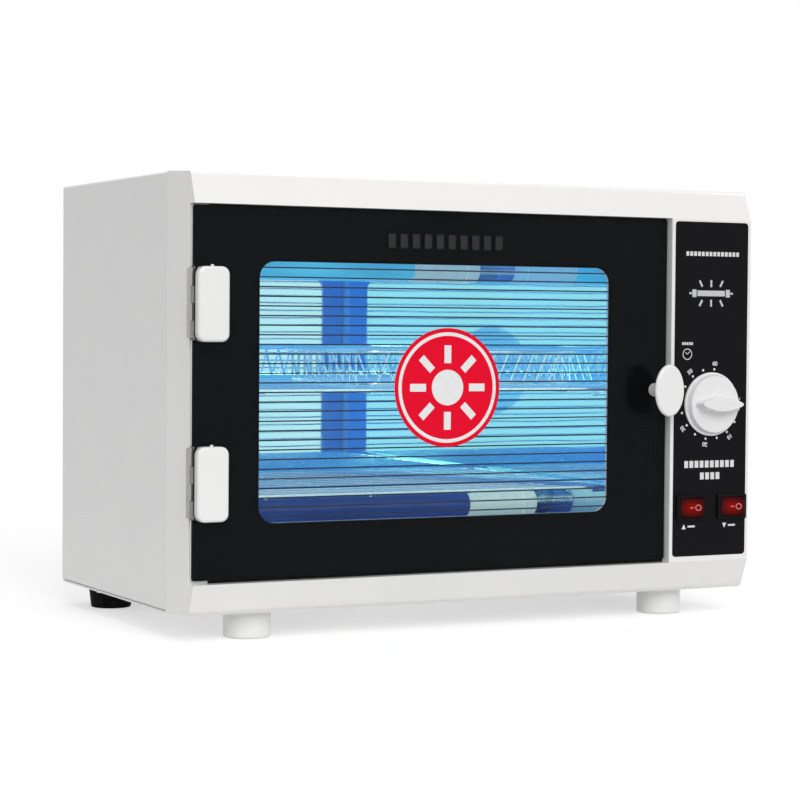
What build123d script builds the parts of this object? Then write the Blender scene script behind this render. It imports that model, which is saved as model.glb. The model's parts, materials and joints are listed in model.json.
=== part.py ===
from build123d import *
import os

# Ultraviolet sterilizer cabinet for salon tools. Millimetres.
# +X is to the viewer's right, +Y towards the back, +Z up.
# The origin is the centre of the base plate's underside; the feet reach below it.

os.makedirs("parts", exist_ok=True)

# ---- Cabinet -------------------------------------------------------------
WIDTH = 365.0
HEIGHT = 246.0
BACK_Y = 105.0
FOOT_HEIGHT = 14.0
SHEET = 1.0  # painted steel sheet
WALL = 2.2  # moulded plastic wall
CASE_INSET = 0.2  # the painted case sits this far inside the bezel's outline
BEND = 1.5  # outer bend radius of the sheet
CASE_FLANGE = 12.0  # width of the case's folded return flanges

# ---- Depths of the front, from the case joint forwards -------------------
JOINT_Y = -71.0
STOP_BACK_Y = -101.9
STOP_Y = -104.4  # the face that the door closes against, and the left lip
NOSE_Y = -105.0
BROW_Y = -112.0
NOSE_DRAFT = 1.8
DRAFT_Z = 18.0  # height of the sloping part of each brow

# ---- Door pocket, door and window -----------------------------------------
POCKET_BOTTOM = 19.6
POCKET_TOP = 226.7
DIVIDER_X = 125.2
DOOR_LEFT = -182.0
DOOR_RIGHT = 124.7
DOOR_BOTTOM = 21.4
DOOR_TOP = 226.0
DOOR_FRONT_Y = -109.5
GLASS = 2.4
BORDER = 0.2
BACKING = 1.7
DOOR_CORNER = 1.5
WINDOW_X = (-142.2, 83.5)
WINDOW_Z = (51.7, 196.0)
WINDOW_CORNER = 9.0

# ---- Chamber ---------------------------------------------------------------
LINER = 0.8
CHAMBER_X = (-170.0, 102.0)
CHAMBER_Z = (16.0, 226.0)
CHAMBER_BACK_Y = 92.0
MOUTH_X = (-168.0, 100.0)
MOUTH_Z = (24.0, 222.0)
LAMP_PLACE = {"lower": (-10.0, 50.0), "upper": (66.0, 198.0)}  # depth and height of each axis
TUBE_RADIUS = 7.75
CAP_RADIUS = 8.7
CAP_LENGTH = 48.0
CAP_JOINT = 9.0  # from a cap's outer end to the groove where its two halves meet
HOLDER_LENGTH = 13.5
HOLDER_RADIUS = 7.6
HOLDER_STUD_RADIUS = 5.0
SHELF_Z = {"middle": 124.3, "lower": 65.5}
FRAME_WIRE = 1.2  # wire radii
CROSS_WIRE = 0.8
BASKET_X = (-54.0, 98.0)
BASKET_Y = (-58.0, 62.0)
BASKET_HEIGHT = 21.0

# ---- Control panel ---------------------------------------------------------
PLATE_X = (127.6, 180.5)
PLATE_Z = (23.0, 225.0)
PLATE = 0.8
PLATE_CORNER = 2.3
TIMER_X, TIMER_Z = 154.0, 115.0
KNOB_RADIUS = 19.2
KNOB_FACE_RADIUS = 17.1
KNOB_HEIGHT = 5.0
KNOB_GAP = 0.4
SHAFT_RADIUS = 3.0
SWITCH_X = {"left": 140.4, "right": 170.0}
SWITCH_Z = 52.5
SWITCH_FRAME = (21.0, 15.0)
SWITCH_BODY = (19.0, 12.8)
ROCKER_HEIGHT = 11.6
ROCKER_TILT = 10.0  # degrees each side of the middle

# ---- Hinges ----------------------------------------------------------------
HINGE_X, HINGE_Y = -183.0, -107.2
HINGE_Z = {"lower": 74.8, "upper": 172.5}
KNUCKLE_RADIUS = 2.2
PIN_RADIUS = 1.0
RUNNING_GAP = 0.05
HINGE_LENGTH = 37.6
KNUCKLES = 4
LEAF = 0.8
LEAF_END_X = {"case": -172.0, "door": -167.6}
LEAF_SCREW_X = {"case": -176.0, "door": -173.0}
LEAF_SCREW_SPREAD = 26.0
LEAF_SCREW_RADIUS = 1.2
LEAF_SCREW_HEAD = 0.6
COVER_SIZE = (18.4, 41.0)
COVER_CORNER = 4.5
COVER_DEPTH = 7.0
COVER_DROP = 0.4  # how far the middle of a cover is below the middle of its hinge
HANDLE_X, HANDLE_Z = 115.0, 123.8

# ---- Worked out from the values above -------------------------------------
case_width = WIDTH - 2 * CASE_INSET
case_top = HEIGHT - CASE_INSET
shell_back = BACK_Y - SHEET
divider_right = DIVIDER_X + WALL
glass_back = DOOR_FRONT_Y + GLASS
border_back = glass_back + BORDER
backing_back = border_back + BACKING
door_middle = ((DOOR_LEFT + DOOR_RIGHT) / 2, (DOOR_BOTTOM + DOOR_TOP) / 2)
door_size = (DOOR_RIGHT - DOOR_LEFT, DOOR_TOP - DOOR_BOTTOM)
window_middle = (sum(WINDOW_X) / 2, sum(WINDOW_Z) / 2)
window_size = (WINDOW_X[1] - WINDOW_X[0], WINDOW_Z[1] - WINDOW_Z[0])
plate_middle = (sum(PLATE_X) / 2, sum(PLATE_Z) / 2)
plate_size = (PLATE_X[1] - PLATE_X[0], PLATE_Z[1] - PLATE_Z[0])
plate_back = BROW_Y + PLATE
panel_inner_y = BROW_Y + WALL
chamber_middle = (sum(CHAMBER_X) / 2, sum(CHAMBER_Z) / 2)
chamber_size = (CHAMBER_X[1] - CHAMBER_X[0], CHAMBER_Z[1] - CHAMBER_Z[0])


def facing(y):
    """Plane across the cabinet at depth y, drawn as seen from the front; it extrudes forwards."""
    return Plane.XZ.offset(-y)


def span(x_range, z_range, mode=Mode.ADD):
    """Draws a rectangle given by its two ranges in the current sketch."""
    with Locations((sum(x_range) / 2, sum(z_range) / 2)):
        return Rectangle(x_range[1] - x_range[0], z_range[1] - z_range[0], mode=mode)


def leaf_screw_spots(side):
    """Front-view places of the screws through the hinge leaves on one side."""
    steps = (-LEAF_SCREW_SPREAD / 2, LEAF_SCREW_SPREAD / 2)
    return [(LEAF_SCREW_X[side], z + step) for z in HINGE_Z.values() for step in steps]


def cut_through_front(y_front, y_back):
    """Cuts the pending sketch, drawn on facing(y_back), forwards past y_front."""
    extrude(amount=y_back - y_front, mode=Mode.SUBTRACT)


# ---- Case ------------------------------------------------------------------
with BuildPart() as case_shell:
    # Sheet wrapped over the top and sides, with flanges folded in at the bottom and the back.
    wrap_height = case_top - SHEET
    with BuildSketch(facing(shell_back)):
        with Locations((0, SHEET + wrap_height / 2)):
            RectangleRounded(case_width, wrap_height, BEND)
            RectangleRounded(
                case_width - 2 * SHEET, wrap_height - 2 * SHEET, BEND - SHEET, mode=Mode.SUBTRACT
            )
    extrude(amount=shell_back - JOINT_Y)
    with BuildSketch(facing(shell_back)):
        with Locations((0, SHEET + wrap_height / 2)):
            RectangleRounded(case_width, wrap_height, BEND)
            Rectangle(
                case_width - 2 * CASE_FLANGE, wrap_height - 2 * CASE_FLANGE, mode=Mode.SUBTRACT
            )
    extrude(amount=SHEET)
    with BuildSketch(Plane.XY.offset(SHEET)):
        with Locations((0, (JOINT_Y + shell_back - CASE_FLANGE) / 2)):
            Rectangle(case_width - 2 * CASE_FLANGE, shell_back - CASE_FLANGE - JOINT_Y)
    extrude(amount=SHEET, mode=Mode.SUBTRACT)
case_shell.part.label = "case_shell"
export_step(case_shell.part, "parts/case_shell.step")

FOOT_SPOTS = {
    "front_left": (-138.0, -82.0),
    "front_right": (138.0, -82.0),
    "rear_left": (-160.0, 78.0),
    "rear_right": (160.0, 78.0),
}
FOOT_SCREW_RADIUS = 2.0
SCREW_CLEARANCE = 0.2
CASE_SCREW_RADIUS = 1.5
base_length = shell_back - JOINT_Y
base_screw_x = case_width / 2 - CASE_FLANGE / 2
BASE_SCREW_ROWS = (-20.0, 50.0)
VENT_X = 142.0  # both sets of ventilation slots lie under and behind the electrical compartment
VENT_WIDTH = 3.0
BASE_VENT_Y = -20.0
BASE_VENT_LENGTH = 46.0
BASE_VENT_PITCH = 9.0
BASE_VENT_ROWS = 5
BEAD_SIZE = (190.0, 110.0)  # middle line of the stiffening bead round the flat middle of the base
BEAD_CORNER = 12.0
BEAD_WIDTH = 4.0
BEAD_DEPTH = 0.6

with BuildPart() as base_plate:
    # The plate runs forwards only as far as the case joint, where the bezel takes over.
    with BuildSketch(Plane.XY):
        with Locations((0, (JOINT_Y + shell_back) / 2)):
            Rectangle(case_width, base_length)
        with Locations(FOOT_SPOTS["rear_left"], FOOT_SPOTS["rear_right"]):
            Circle(FOOT_SCREW_RADIUS + SCREW_CLEARANCE, mode=Mode.SUBTRACT)
        with Locations([(side * base_screw_x, y) for side in (-1, 1) for y in BASE_SCREW_ROWS]):
            Circle(CASE_SCREW_RADIUS + SCREW_CLEARANCE, mode=Mode.SUBTRACT)
        with Locations((VENT_X, BASE_VENT_Y)):
            with GridLocations(0, BASE_VENT_PITCH, 1, BASE_VENT_ROWS):
                SlotOverall(BASE_VENT_LENGTH, VENT_WIDTH, mode=Mode.SUBTRACT)
    extrude(amount=SHEET)
    # Bead pressed upwards: a groove in the underside and a wider rib above it.
    for height, width, mode in (
        (SHEET, BEAD_WIDTH + 2 * SHEET, Mode.ADD),
        (0, BEAD_WIDTH, Mode.SUBTRACT),
    ):
        with BuildSketch(Plane.XY.offset(height)):
            RectangleRounded(BEAD_SIZE[0] + width, BEAD_SIZE[1] + width, BEAD_CORNER + width / 2)
            RectangleRounded(
                BEAD_SIZE[0] - width, BEAD_SIZE[1] - width, BEAD_CORNER - width / 2, mode=Mode.SUBTRACT
            )
        extrude(amount=BEAD_DEPTH, mode=mode)
base_plate.part.label = "base_plate"
export_step(base_plate.part, "parts/base_plate.step")

REAR_SCREW_X = (-120.0, 0.0, 120.0)
rear_screw_z = (SHEET + CASE_FLANGE / 2, case_top - CASE_FLANGE / 2)
CORD_X, CORD_Z = 150.0, 34.0
GROMMET_NECK_RADIUS = 6.0
REAR_VENT_Z = (190.0, 90.0)
REAR_VENT_LENGTH = 40.0
REAR_VENT_PITCH = 8.0
REAR_VENT_ROWS = 8

with BuildPart() as rear_panel:
    with BuildSketch(facing(BACK_Y)):
        with Locations((0, (SHEET + case_top) / 2)):
            RectangleRounded(case_width, case_top - SHEET, BEND)
        with Locations([(x, z) for x in REAR_SCREW_X for z in rear_screw_z]):
            Circle(CASE_SCREW_RADIUS + SCREW_CLEARANCE, mode=Mode.SUBTRACT)
        with Locations((CORD_X, CORD_Z)):
            Circle(GROMMET_NECK_RADIUS, mode=Mode.SUBTRACT)
        with Locations([(VENT_X, z) for z in REAR_VENT_Z]):
            with GridLocations(0, REAR_VENT_PITCH, 1, REAR_VENT_ROWS):
                SlotOverall(REAR_VENT_LENGTH, VENT_WIDTH, mode=Mode.SUBTRACT)
    extrude(amount=SHEET)
rear_panel.part.label = "rear_panel"
export_step(rear_panel.part, "parts/rear_panel.step")

# ---- Front bezel -----------------------------------------------------------
LEAF_POCKET = 0.9
LEAF_POCKET_X = (-WIDTH / 2 - 1, -171.4)
TIMER_BUSH_RADIUS = 4.8
TIMER_SCREW_SPREAD = 24.0
CATCH_X, CATCH_Z = 107.0, 152.0
CATCH_SIZE = (7.6, 24.0)
CATCH_DEPTH = 12.0
SLEEVE = 1.4
SLEEVE_BACK_Y = -60.0
FOOT_BOSS_RADIUS = 6.0
FOOT_BOSS_HEIGHT = 8.0
sleeve_gap = 0.2
sleeve_width = case_width - 2 * SHEET - 2 * sleeve_gap
sleeve_z = (2 * SHEET + sleeve_gap, case_top - SHEET - sleeve_gap)


def brow_outline():
    """Side view of the bezel's outer form: each brow slopes forwards towards the door pocket."""
    Polyline(
        (JOINT_Y, 0),
        (NOSE_Y, NOSE_DRAFT),
        (BROW_Y, NOSE_DRAFT + DRAFT_Z),
        (BROW_Y, HEIGHT - NOSE_DRAFT - DRAFT_Z),
        (NOSE_Y, HEIGHT - NOSE_DRAFT),
        (JOINT_Y, HEIGHT),
        close=True,
    )


with BuildPart() as front_bezel:
    with BuildSketch(Plane.YZ.offset(-WIDTH / 2)):
        with BuildLine():
            brow_outline()
        make_face()
        nose_corners = vertices().group_by(Axis.X)[1]
        fillet(nose_corners.sort_by(Axis.Y)[0], radius=5.0)
        fillet(vertices().sort_by(Axis.Y)[-2:].sort_by(Axis.X)[0], radius=3.0)
    extrude(amount=WIDTH)
    # Hollow behind the skin, open at the back.
    with BuildSketch(Plane.YZ.offset(-WIDTH / 2 + WALL)):
        with BuildLine():
            brow_outline()
        make_face()
        offset(amount=-WALL, kind=Kind.INTERSECTION, mode=Mode.REPLACE)
        with Locations((JOINT_Y - WALL, HEIGHT / 2)):
            Rectangle(4 * WALL, HEIGHT - 2 * WALL)
    extrude(amount=WIDTH - 2 * WALL, mode=Mode.SUBTRACT)
    # Walls of the door pocket, then the pocket itself and the chamber's mouth.
    with BuildSketch(facing(STOP_BACK_Y)):
        span((-WIDTH / 2, divider_right), (POCKET_BOTTOM - WALL, POCKET_TOP + WALL))
    extrude(amount=STOP_BACK_Y - BROW_Y - WALL / 2)
    with BuildSketch(facing(STOP_Y)):
        span((-WIDTH / 2 - 1, DIVIDER_X), (POCKET_BOTTOM, POCKET_TOP))
    cut_through_front(BROW_Y - 1, STOP_Y)
    with BuildSketch(facing(STOP_BACK_Y + 1)):
        span(MOUTH_X, MOUTH_Z)
        with Locations((CATCH_X, CATCH_Z)):
            Rectangle(CATCH_SIZE[0] + 0.4, CATCH_SIZE[1] + 0.4)
    cut_through_front(STOP_Y - 1, STOP_BACK_Y + 1)
    # Shallow seats for the hinge leaves.
    with BuildSketch(facing(STOP_Y + LEAF_POCKET)):
        for z in HINGE_Z.values():
            span(LEAF_POCKET_X, (z - HINGE_LENGTH / 2 - 0.5, z + HINGE_LENGTH / 2 + 0.5))
    cut_through_front(STOP_Y - 1, STOP_Y + LEAF_POCKET)
    with BuildSketch(facing(STOP_BACK_Y + 1)):
        with Locations(leaf_screw_spots("case")):
            Circle(LEAF_SCREW_RADIUS + RUNNING_GAP)
    cut_through_front(STOP_Y, STOP_BACK_Y + 1)
    # Seat for the control plate, and the openings behind it.
    with BuildSketch(facing(plate_back)):
        with Locations(plate_middle):
            RectangleRounded(plate_size[0] + 0.2, plate_size[1] + 0.2, PLATE_CORNER)
    cut_through_front(BROW_Y - 1, plate_back)
    with BuildSketch(facing(panel_inner_y + 1)):
        with Locations((TIMER_X, TIMER_Z)):
            Circle(TIMER_BUSH_RADIUS + SCREW_CLEARANCE)
            with GridLocations(TIMER_SCREW_SPREAD, 0, 2, 1):
                Circle(CASE_SCREW_RADIUS + SCREW_CLEARANCE)
        for x in SWITCH_X.values():
            with Locations((x, SWITCH_Z)):
                Rectangle(SWITCH_BODY[0] + 0.3, SWITCH_BODY[1] + 0.3)
    cut_through_front(BROW_Y - 1, panel_inner_y + 1)
    # Sleeve that slips inside the painted case.
    with BuildSketch(facing(SLEEVE_BACK_Y)):
        with Locations((0, sum(sleeve_z) / 2)):
            RectangleRounded(sleeve_width, sleeve_z[1] - sleeve_z[0], BEND)
        offset(amount=-SLEEVE, kind=Kind.INTERSECTION, mode=Mode.SUBTRACT)
    extrude(amount=SLEEVE_BACK_Y - JOINT_Y + 4)
    # Screw bosses for the front feet.
    with BuildSketch(Plane.XY.offset(WALL / 2)):
        with Locations(FOOT_SPOTS["front_left"], FOOT_SPOTS["front_right"]):
            Circle(FOOT_BOSS_RADIUS)
    extrude(amount=FOOT_BOSS_HEIGHT)
    with BuildSketch(Plane.XY.offset(-1)):
        with Locations(FOOT_SPOTS["front_left"], FOOT_SPOTS["front_right"]):
            Circle(FOOT_SCREW_RADIUS + SCREW_CLEARANCE)
    extrude(amount=FOOT_BOSS_HEIGHT + 1, mode=Mode.SUBTRACT)
front_bezel.part.label = "front_bezel"
export_step(front_bezel.part, "parts/front_bezel.step")

with BuildPart() as control_plate:
    with BuildSketch(facing(plate_back)):
        with Locations(plate_middle):
            RectangleRounded(plate_size[0], plate_size[1], PLATE_CORNER)
        with Locations((TIMER_X, TIMER_Z)):
            Circle(TIMER_BUSH_RADIUS + SCREW_CLEARANCE, mode=Mode.SUBTRACT)
            with GridLocations(TIMER_SCREW_SPREAD, 0, 2, 1):
                Circle(CASE_SCREW_RADIUS + SCREW_CLEARANCE, mode=Mode.SUBTRACT)
        for x in SWITCH_X.values():
            with Locations((x, SWITCH_Z)):
                Rectangle(SWITCH_BODY[0] + 0.3, SWITCH_BODY[1] + 0.3, mode=Mode.SUBTRACT)
    extrude(amount=PLATE)
control_plate.part.label = "control_plate"
export_step(control_plate.part, "parts/control_plate.step")

SEAL_WIDTH = 9.0
with BuildPart() as door_seal:
    # Black foam ring on the stop face, which keeps the light in.
    with BuildSketch(facing(STOP_Y)):
        span((LEAF_POCKET_X[1] + 0.2, DIVIDER_X - 0.1), (POCKET_BOTTOM + 0.1, POCKET_TOP - 0.1))
        span((MOUTH_X[0], DIVIDER_X - SEAL_WIDTH), MOUTH_Z, mode=Mode.SUBTRACT)
    extrude(amount=0.5)
door_seal.part.label = "door_seal"
export_step(door_seal.part, "parts/door_seal.step")

with BuildPart() as magnet_catch:
    with BuildSketch(facing(STOP_BACK_Y + CATCH_DEPTH)):
        with Locations((CATCH_X, CATCH_Z)):
            Rectangle(*CATCH_SIZE)
    extrude(amount=STOP_BACK_Y + CATCH_DEPTH - STOP_Y + 0.1)
    chamfer(magnet_catch.faces().sort_by(Axis.Y)[0].edges(), length=0.6)
magnet_catch.part.label = "magnet_catch"
export_step(magnet_catch.part, "parts/magnet_catch.step")

# ---- Chamber ---------------------------------------------------------------
HOOK_Y = (-70.0, 60.0)
HOOK_RADIUS = 2.0
HOOK_DROP = FRAME_WIRE + HOOK_RADIUS  # from a rack's frame to the middle of the pegs below it
HOOK_LENGTH = 9.0
HOOK_TAIL = 3.0  # length left outside the liner

with BuildPart() as chamber_liner:
    # Folded mirror-finish box, open towards the door.
    with BuildSketch(facing(CHAMBER_BACK_Y + LINER)):
        with Locations(chamber_middle):
            Rectangle(chamber_size[0] + 2 * LINER, chamber_size[1] + 2 * LINER)
    extrude(amount=CHAMBER_BACK_Y + LINER - STOP_BACK_Y)
    with BuildSketch(facing(CHAMBER_BACK_Y)):
        with Locations(chamber_middle):
            Rectangle(*chamber_size)
    extrude(amount=CHAMBER_BACK_Y - STOP_BACK_Y, mode=Mode.SUBTRACT)
    # Holes for the lamp holders' studs and the shelf hooks, through both side walls.
    with BuildSketch(Plane.YZ.offset(CHAMBER_X[0] - LINER)):
        with Locations(list(LAMP_PLACE.values())):
            Circle(HOLDER_STUD_RADIUS + SCREW_CLEARANCE)
        with Locations([(y, z - HOOK_DROP) for z in SHELF_Z.values() for y in HOOK_Y]):
            Circle(HOOK_RADIUS)
    extrude(amount=chamber_size[0] + 2 * LINER, mode=Mode.SUBTRACT)
chamber_liner.part.label = "chamber_liner"
export_step(chamber_liner.part, "parts/chamber_liner.step")


def lamp_cylinders(lamp, radius, inset, length):
    """Cylinders along X, one at each side wall, starting inset from the wall and running inwards."""
    with BuildPart() as pair:
        for start_x in (CHAMBER_X[0] + inset, CHAMBER_X[1] - inset - length):
            with BuildSketch(Plane.YZ.offset(start_x)):
                with Locations(LAMP_PLACE[lamp]):
                    Circle(radius)
            extrude(amount=length)
    return pair.part


def lamp_tube(lamp):
    """Quartz tube that reaches a little way into both caps."""
    grip = 6.0
    reach = HOLDER_LENGTH + CAP_LENGTH - grip
    with BuildPart() as tube:
        with BuildSketch(Plane.YZ.offset(CHAMBER_X[0] + reach)):
            with Locations(LAMP_PLACE[lamp]):
                Circle(TUBE_RADIUS)
                Circle(TUBE_RADIUS - 1.0, mode=Mode.SUBTRACT)
        extrude(amount=chamber_size[0] - 2 * reach)
    return tube


def lamp_caps(lamp):
    """Cream end caps, each with a socket for the tube and a groove where its two halves meet."""
    barrels = lamp_cylinders(lamp, CAP_RADIUS, HOLDER_LENGTH, CAP_LENGTH)
    sockets = lamp_cylinders(lamp, TUBE_RADIUS + 0.1, HOLDER_LENGTH + CAP_LENGTH - 6.5, 7.5)
    joint_start = HOLDER_LENGTH + CAP_JOINT
    groove = lamp_cylinders(lamp, CAP_RADIUS + 1, joint_start, 0.8) - lamp_cylinders(
        lamp, CAP_RADIUS - 0.5, joint_start - 1, 2.8
    )
    with BuildPart() as caps:
        add(barrels)
        add(sockets, mode=Mode.SUBTRACT)
        chamfer(caps.edges().filter_by(GeomType.CIRCLE).group_by(SortBy.RADIUS)[-1], length=0.6)
        add(groove, mode=Mode.SUBTRACT)
    return caps


def lamp_holders(lamp):
    """Round metal holders on both side walls, with studs through the liner."""
    bodies = lamp_cylinders(lamp, HOLDER_RADIUS, 0, HOLDER_LENGTH - 0.4)
    studs = lamp_cylinders(lamp, HOLDER_STUD_RADIUS, -4.0, 5.0)
    with BuildPart() as holders:
        add(bodies)
        add(studs)
    return holders


upper_lamp_tube = lamp_tube("upper")
upper_lamp_tube.part.label = "upper_lamp_tube"
export_step(upper_lamp_tube.part, "parts/upper_lamp_tube.step")

lower_lamp_tube = lamp_tube("lower")
lower_lamp_tube.part.label = "lower_lamp_tube"
export_step(lower_lamp_tube.part, "parts/lower_lamp_tube.step")

upper_lamp_caps = lamp_caps("upper")
upper_lamp_caps.part.label = "upper_lamp_caps"
export_step(upper_lamp_caps.part, "parts/upper_lamp_caps.step")

lower_lamp_caps = lamp_caps("lower")
lower_lamp_caps.part.label = "lower_lamp_caps"
export_step(lower_lamp_caps.part, "parts/lower_lamp_caps.step")

upper_lamp_holders = lamp_holders("upper")
upper_lamp_holders.part.label = "upper_lamp_holders"
export_step(upper_lamp_holders.part, "parts/upper_lamp_holders.step")

lower_lamp_holders = lamp_holders("lower")
lower_lamp_holders.part.label = "lower_lamp_holders"
export_step(lower_lamp_holders.part, "parts/lower_lamp_holders.step")

RACK_GAP = 4.0  # from the side walls
RACK_Y = (-94.0, 84.0)
RACK_CORNER = 8.0
RACK_WIRES = 12
RACK_BEARERS = 4


def wire_rack(z):
    """Welded rack: a bent frame, thin wires across it and bearers from front to back below them."""
    left = CHAMBER_X[0] + RACK_GAP + FRAME_WIRE
    right = CHAMBER_X[1] - RACK_GAP - FRAME_WIRE
    front, back = RACK_Y
    rack_width, rack_depth = right - left, back - front
    middle = ((left + right) / 2, (front + back) / 2)
    with BuildPart() as rack:
        with BuildLine(Plane.XY.offset(z)):
            corners = Polyline((left, front), (right, front), (right, back), (left, back), close=True)
            frame_path = fillet(corners.vertices(), RACK_CORNER)
        with BuildSketch(Plane(origin=frame_path @ 0.5, z_dir=frame_path % 0.5)):
            Circle(FRAME_WIRE)
        sweep(path=frame_path)
        with BuildSketch(Plane.YZ.offset(left)):
            with Locations((middle[1], z)):
                with GridLocations(rack_depth / (RACK_WIRES + 1), 0, RACK_WIRES, 1):
                    Circle(CROSS_WIRE)
        extrude(amount=rack_width)
        with BuildSketch(facing(back)):
            with Locations((middle[0], z - 1.2)):
                with GridLocations(rack_width / RACK_BEARERS, 0, RACK_BEARERS, 1):
                    Circle(CROSS_WIRE)
        extrude(amount=rack_depth)
    return rack


wire_shelf = wire_rack(SHELF_Z["middle"])
wire_shelf.part.label = "wire_shelf"
export_step(wire_shelf.part, "parts/wire_shelf.step")

lower_rack = wire_rack(SHELF_Z["lower"])
lower_rack.part.label = "lower_rack"
export_step(lower_rack.part, "parts/lower_rack.step")

with BuildPart() as shelf_hooks:
    # Pegs pushed through the side walls, on which the racks rest.
    for end_x in (CHAMBER_X[0] - HOOK_TAIL, CHAMBER_X[1] + HOOK_TAIL - HOOK_LENGTH):
        with BuildSketch(Plane.YZ.offset(end_x)):
            with Locations([(y, z - HOOK_DROP) for z in SHELF_Z.values() for y in HOOK_Y]):
                Circle(HOOK_RADIUS - RUNNING_GAP)
        extrude(amount=HOOK_LENGTH)
shelf_hooks.part.label = "shelf_hooks"
export_step(shelf_hooks.part, "parts/shelf_hooks.step")

with BuildPart() as wire_basket:
    # Open tray; its sides and floor stand for the woven wire.
    basket_floor = SHELF_Z["middle"] + FRAME_WIRE + 0.3
    basket_mesh = 2.4
    with BuildSketch(Plane.XY.offset(basket_floor)):
        with Locations((sum(BASKET_X) / 2, sum(BASKET_Y) / 2)):
            RectangleRounded(BASKET_X[1] - BASKET_X[0], BASKET_Y[1] - BASKET_Y[0], 10.0)
    extrude(amount=BASKET_HEIGHT)
    offset(amount=-basket_mesh, openings=wire_basket.faces().sort_by(Axis.Z)[-1])
wire_basket.part.label = "wire_basket"
export_step(wire_basket.part, "parts/wire_basket.step")

# ---- Door ------------------------------------------------------------------
knuckle_notch_x = HINGE_X + KNUCKLE_RADIUS + 0.4
HANDLE_SCREW_RADIUS = 1.5
DOOR_EDGE = 0.4


def door_outline():
    """Door outline with a notch at each hinge barrel and holes for the handle's and leaves' screws."""
    with Locations(door_middle):
        RectangleRounded(*door_size, DOOR_CORNER)
    for z in HINGE_Z.values():
        reach = HINGE_LENGTH / 2 + 1.2
        span((DOOR_LEFT - 1, knuckle_notch_x), (z - reach, z + reach), mode=Mode.SUBTRACT)
    with Locations((HANDLE_X, HANDLE_Z)):
        Circle(HANDLE_SCREW_RADIUS + SCREW_CLEARANCE, mode=Mode.SUBTRACT)
    with Locations(leaf_screw_spots("door")):
        Circle(LEAF_SCREW_RADIUS + RUNNING_GAP, mode=Mode.SUBTRACT)


def cut_window():
    """Cuts the clear window out of the sketch being drawn."""
    with Locations(window_middle):
        RectangleRounded(*window_size, WINDOW_CORNER, mode=Mode.SUBTRACT)


with BuildPart() as door_glass:
    with BuildSketch(facing(glass_back)):
        door_outline()
    extrude(amount=GLASS)
    chamfer(door_glass.faces().sort_by(Axis.Y)[0].outer_wire().edges(), length=DOOR_EDGE)
door_glass.part.label = "door_glass"
export_step(door_glass.part, "parts/door_glass.step")

with BuildPart() as door_border:
    # Black print on the back of the glass, leaving the window clear.
    with BuildSketch(facing(border_back)):
        door_outline()
        cut_window()
    extrude(amount=BORDER)
door_border.part.label = "door_border"
export_step(door_border.part, "parts/door_border.step")

with BuildPart() as door_backing:
    # Plastic frame that stiffens the glass; its cut edge shows round the window.
    with BuildSketch(facing(backing_back)):
        door_outline()
        cut_window()
    extrude(amount=BACKING)
    with Locations(Location(Plane(origin=(HANDLE_X, backing_back, HANDLE_Z), z_dir=(0, 1, 0)))):
        CounterSinkHole(
            radius=HANDLE_SCREW_RADIUS + SCREW_CLEARANCE,
            counter_sink_radius=3.1,
            counter_sink_angle=90,
        )
door_backing.part.label = "door_backing"
export_step(door_backing.part, "parts/door_backing.step")

STICKER_RADIUS = 34.0
with BuildPart() as window_sticker:
    with BuildSketch(facing(DOOR_FRONT_Y)):
        with Locations((-26.0, 126.0)):
            Circle(STICKER_RADIUS)
    extrude(amount=0.25)
window_sticker.part.label = "window_sticker"
export_step(window_sticker.part, "parts/window_sticker.step")

with BuildPart() as strike_plate:
    with BuildSketch(facing(STOP_Y - 0.35)):
        with Locations((CATCH_X, CATCH_Z)):
            RectangleRounded(CATCH_SIZE[0] - 0.6, CATCH_SIZE[1] - 2, 1.5)
    extrude(amount=STOP_Y - 0.35 - backing_back)
strike_plate.part.label = "strike_plate"
export_step(strike_plate.part, "parts/strike_plate.step")

# ---- Handle ----------------------------------------------------------------
STEM_RADIUS = 4.0
STEM_LENGTH = 15.5
HANDLE_SIZE = (20.0, 31.0)
HANDLE_EDGE = 2.4
stem_end = DOOR_FRONT_Y - STEM_LENGTH

with BuildPart() as handle_stem:
    with BuildSketch(facing(DOOR_FRONT_Y)):
        with Locations((HANDLE_X, HANDLE_Z)):
            Circle(STEM_RADIUS)
            Circle(HANDLE_SCREW_RADIUS, mode=Mode.SUBTRACT)
    extrude(amount=STEM_LENGTH)
handle_stem.part.label = "handle_stem"
export_step(handle_stem.part, "parts/handle_stem.step")

with BuildPart() as handle_plate:
    # Oval pull with a crowned face.
    with BuildSketch(facing(stem_end)):
        with Locations((HANDLE_X, HANDLE_Z)):
            Ellipse(HANDLE_SIZE[0] / 2, HANDLE_SIZE[1] / 2)
    extrude(amount=HANDLE_EDGE)
    fillet(handle_plate.faces().sort_by(Axis.Y)[0].edges(), radius=1.6)
    fillet(handle_plate.faces().sort_by(Axis.Y)[-1].edges(), radius=0.6)
handle_plate.part.label = "handle_plate"
export_step(handle_plate.part, "parts/handle_plate.step")

with BuildPart() as handle_screw:
    # Countersunk screw from the back of the door into the stem.
    screw_reach = 9.0
    with BuildSketch(Plane.XY.offset(HANDLE_Z)):
        with BuildLine():
            Polyline(
                (HANDLE_X, backing_back - 0.1),
                (HANDLE_X + 2.8, backing_back - 0.1),
                (HANDLE_X + HANDLE_SCREW_RADIUS - 0.05, backing_back - 1.45),
                (HANDLE_X + HANDLE_SCREW_RADIUS - 0.05, DOOR_FRONT_Y - screw_reach),
                (HANDLE_X, DOOR_FRONT_Y - screw_reach),
                close=True,
            )
        make_face()
    revolve(axis=Axis((HANDLE_X, 0, HANDLE_Z), (0, 1, 0)))
handle_screw.part.label = "handle_screw"
export_step(handle_screw.part, "parts/handle_screw.step")

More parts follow.
